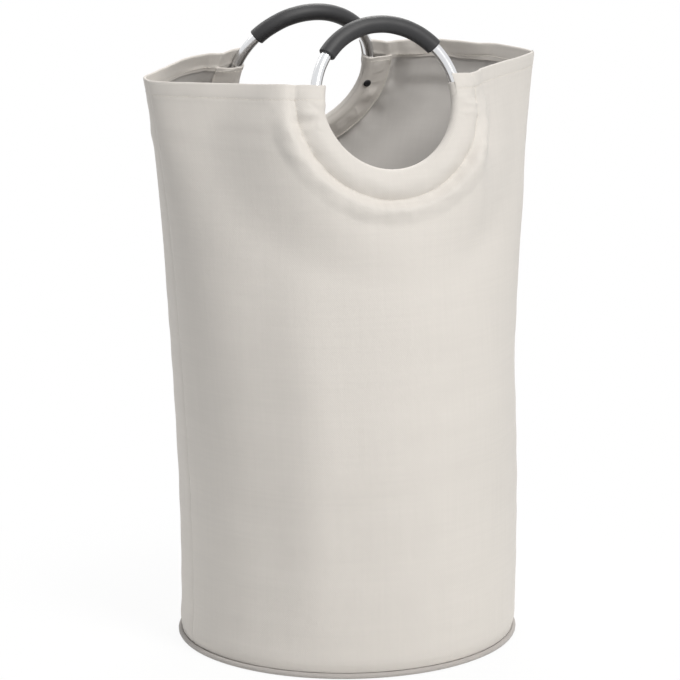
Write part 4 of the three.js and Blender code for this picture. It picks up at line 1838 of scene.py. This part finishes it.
    def rivet(self, corner: Corner) -> None:
        """Makes one push rivet, with a domed head on the cloth inside the bag.

        Args:
            corner: The side seam it is nearer to.
        """
        seat, rim, foot = self.rivet_seat, self.rivet_rim, self.rivet_seat - self.shank_length
        crown = self.rivet_height - rim
        turns = [math.radians(a) for a in (0, 18, 36, 54, 72)]
        profile = [
            (0.0, foot),
            (self.shank_radius * 0.8, foot),
            (self.shank_radius, foot + rim),
            (self.shank_radius, seat),
            (self.rivet_radius - 0.2 * MM, seat),
            *((self.rivet_radius * math.cos(a), seat + rim + crown * math.sin(a)) for a in turns),
            (0.0, seat + self.rivet_height),
        ]
        mesh = spun(profile, self.rivet_steps)
        turn = Matrix.Rotation(self.side.direction * math.pi / 2, 4, "X")
        place = self.on_ring(corner.value * self.rivet_angle) @ turn
        bmesh.ops.transform(mesh, matrix=place, verts=mesh.verts)
        name = corner.name.lower()
        nylon = self.finishes.nylon
        self.placed(f"{name}_push_rivet", f"{name}_rivet", Slot.PLASTIC, mesh, nylon)

    def build(self) -> None:
        """Makes the tube, the grip and the rivets, and dresses the joiner inside the tube."""
        dress_node(f"{self.side.name}_ring_joiner", self.finishes.nylon)
        self.tube()
        self.grip()
        for corner in Corner:
            self.rivet(corner)


# The studio

# Faintly warm light of the lamps, against the cooler light of the surround.
LAMP_COLOUR = (1.0, 0.985, 0.955)
# Name, degrees from the front towards the right, degrees over the level, distance, side of the
# square, and power in watts: the key light on the right and the lamps that fill the shade.
LAMPS = (
    ("key", 13, 40, 4.0, 1.0, 74),
    ("high", 6, 68, 4.0, 0.9, 42),
    ("back right", 150, 45, 3.2, 1.4, 40),
    ("back left", -150, 45, 3.2, 1.4, 16),
)


def direction(turn: float, rise: float) -> Vector:
    """Direction at an angle from the front towards the right, and an angle over the level."""
    level = math.cos(rise)
    return Vector((math.sin(turn) * level, -math.cos(turn) * level, math.sin(rise)))


@dataclass
class Studio:
    """Camera, soft lights, a pale floor and a white surround."""

    focal_pixels: float = 3549.76
    image_width: float = 680.0
    azimuth: float = math.radians(-23.3656)
    elevation: float = math.radians(13.0863)
    distance: float = 4.0008
    aside: float = -0.00555
    target_height: float = 0.33746
    roll: float = math.radians(-0.4595)
    sensor: float = 36.0
    lamp_target: float = 0.35
    floor_radius: float = 2.2
    floor_drop: float = 0.2 * MM

    def build(self) -> None:
        """Makes the whole studio."""
        self.camera()
        for lamp in LAMPS:
            self.lamp(*lamp)
        self.surround()
        self.floor()

    def camera(self) -> None:
        """Makes the camera at the photograph's viewing angle."""
        back = direction(self.azimuth, self.elevation)
        level = Vector((math.cos(self.azimuth), math.sin(self.azimuth), 0))
        upright = back.cross(level)
        right = level * math.cos(self.roll) + upright * math.sin(self.roll)
        up = upright * math.cos(self.roll) - level * math.sin(self.roll)
        place = level * self.aside + Vector((0, 0, self.target_height)) + back * self.distance
        data = bpy.data.cameras.new("camera")
        data.sensor_width = self.sensor
        data.lens = self.focal_pixels / self.image_width * self.sensor
        data.clip_start, data.clip_end = 0.1, 50
        made = bpy.data.objects.new("camera", data)
        bpy.context.scene.collection.objects.link(made)
        turn = Matrix((right, up, back)).transposed().to_4x4()
        made.matrix_world = Matrix.Translation(place) @ turn
        bpy.context.scene.camera = made

    def lamp(
        self, name: str, turn: float, rise: float, reach: float, size: float, power: float
    ) -> None:
        """Makes a square soft light that faces the middle of the hamper.

        Args:
            name: Name of the light.
            turn: Degrees from the front towards the right.
            rise: Degrees over the level.
            reach: Distance from the middle of the hamper.
            size: Side of the square.
            power: Power in watts.
        """
        away = direction(math.radians(turn), math.radians(rise))
        data = bpy.data.lights.new(name, "AREA")
        data.shape = "SQUARE"
        data.size = size
        data.energy = power
        data.color = LAMP_COLOUR
        made = bpy.data.objects.new(name, data)
        made.location = Vector((0, 0, self.lamp_target)) + away * reach
        made.rotation_euler = (-away).to_track_quat("-Z", "Y").to_euler()
        bpy.context.scene.collection.objects.link(made)

    def surround(self) -> None:
        """Makes the world, white to the camera and to reflections, and softer as a light."""
        world = bpy.data.worlds.new("surround")
        tree = blank_tree(world)
        path = add_node(tree, "ShaderNodeLightPath").outputs
        rays = {0: path["Is Camera Ray"], 1: path["Is Transmission Ray"]}
        seen = add_node(tree, "ShaderNodeMath", rays, operation="MAXIMUM")
        light = {"Color": linear("#fafcff"), "Strength": 0.33}
        soft = add_node(tree, "ShaderNodeBackground", light)
        shown = {"Color": linear("#ffffff"), "Strength": 1.0}
        white = add_node(tree, "ShaderNodeBackground", shown)
        mirrored = {0: path["Is Glossy Ray"], 1: soft, 2: white}
        shiny = add_node(tree, "ShaderNodeMixShader", mirrored)
        mixed = add_node(tree, "ShaderNodeMixShader", {0: seen, 1: shiny, 2: white})
        add_node(tree, "ShaderNodeOutputWorld", {"Surface": mixed})
        bpy.context.scene.world = world

    def floor(self) -> None:
        """Makes the pale floor, which keeps the shadow near the hamper."""
        mesh = bmesh.new()
        bmesh.ops.create_circle(mesh, cap_ends=True, segments=96, radius=self.floor_radius)
        made = finished("floor", mesh, self.floor_material())
        made.location.z = -self.floor_drop

    def floor_material(self) -> Material:
        """Builds pale matt paint that fades into the white surround away from the hamper.

        Returns:
            The new material.
        """
        made = bpy.data.materials.new("pale matt floor paint")
        tree = blank_tree(made)
        place = add_node(tree, "ShaderNodeTexCoord").outputs["Object"]
        reach = add_node(tree, "ShaderNodeVectorMath", {0: place}, operation="LENGTH")
        span = {"From Min": 0.20, "From Max": 0.60, "To Min": 0.91, "To Max": 1.0}
        span["Value"] = reach.outputs["Value"]
        fade = add_node(tree, "ShaderNodeMapRange", span, interpolation_type="SMOOTHSTEP")
        path = add_node(tree, "ShaderNodeLightPath").outputs
        rays = {0: path["Is Camera Ray"], 1: path["Is Glossy Ray"]}
        seen = add_node(tree, "ShaderNodeMath", rays, operation="MAXIMUM")
        share = add_node(tree, "ShaderNodeMath", {0: fade, 1: seen}, operation="MULTIPLY")
        look = {"Base Color": linear("#f4f4f3"), "Roughness": 0.9}
        paint = add_node(tree, "ShaderNodeBsdfPrincipled", look)
        glow = {"Color": linear("#ffffff"), "Strength": 1.0}
        white = add_node(tree, "ShaderNodeEmission", glow)
        mixed = add_node(tree, "ShaderNodeMixShader", {0: share, 1: paint, 2: white})
        add_node(tree, "ShaderNodeOutputMaterial", {"Surface": mixed})
        return made


def main() -> None:
    """Builds the studio and the hamper."""
    logging.basicConfig(level=logging.INFO, format="%(message)s")
    bpy.context.scene.view_settings.view_transform = "Standard"
    Studio().build()
    finishes = Finishes()
    Base(finishes).build()
    for side in (FRONT, BACK):
        yoke = Yoke(side, finishes)
        yoke.build()
        LowerWall(yoke).build()
        Facing(yoke).build()
        Handle(side, finishes).build()
    for corner in Corner:
        SeamTape(corner, finishes).build()


if __name__ == "__main__":
    main()
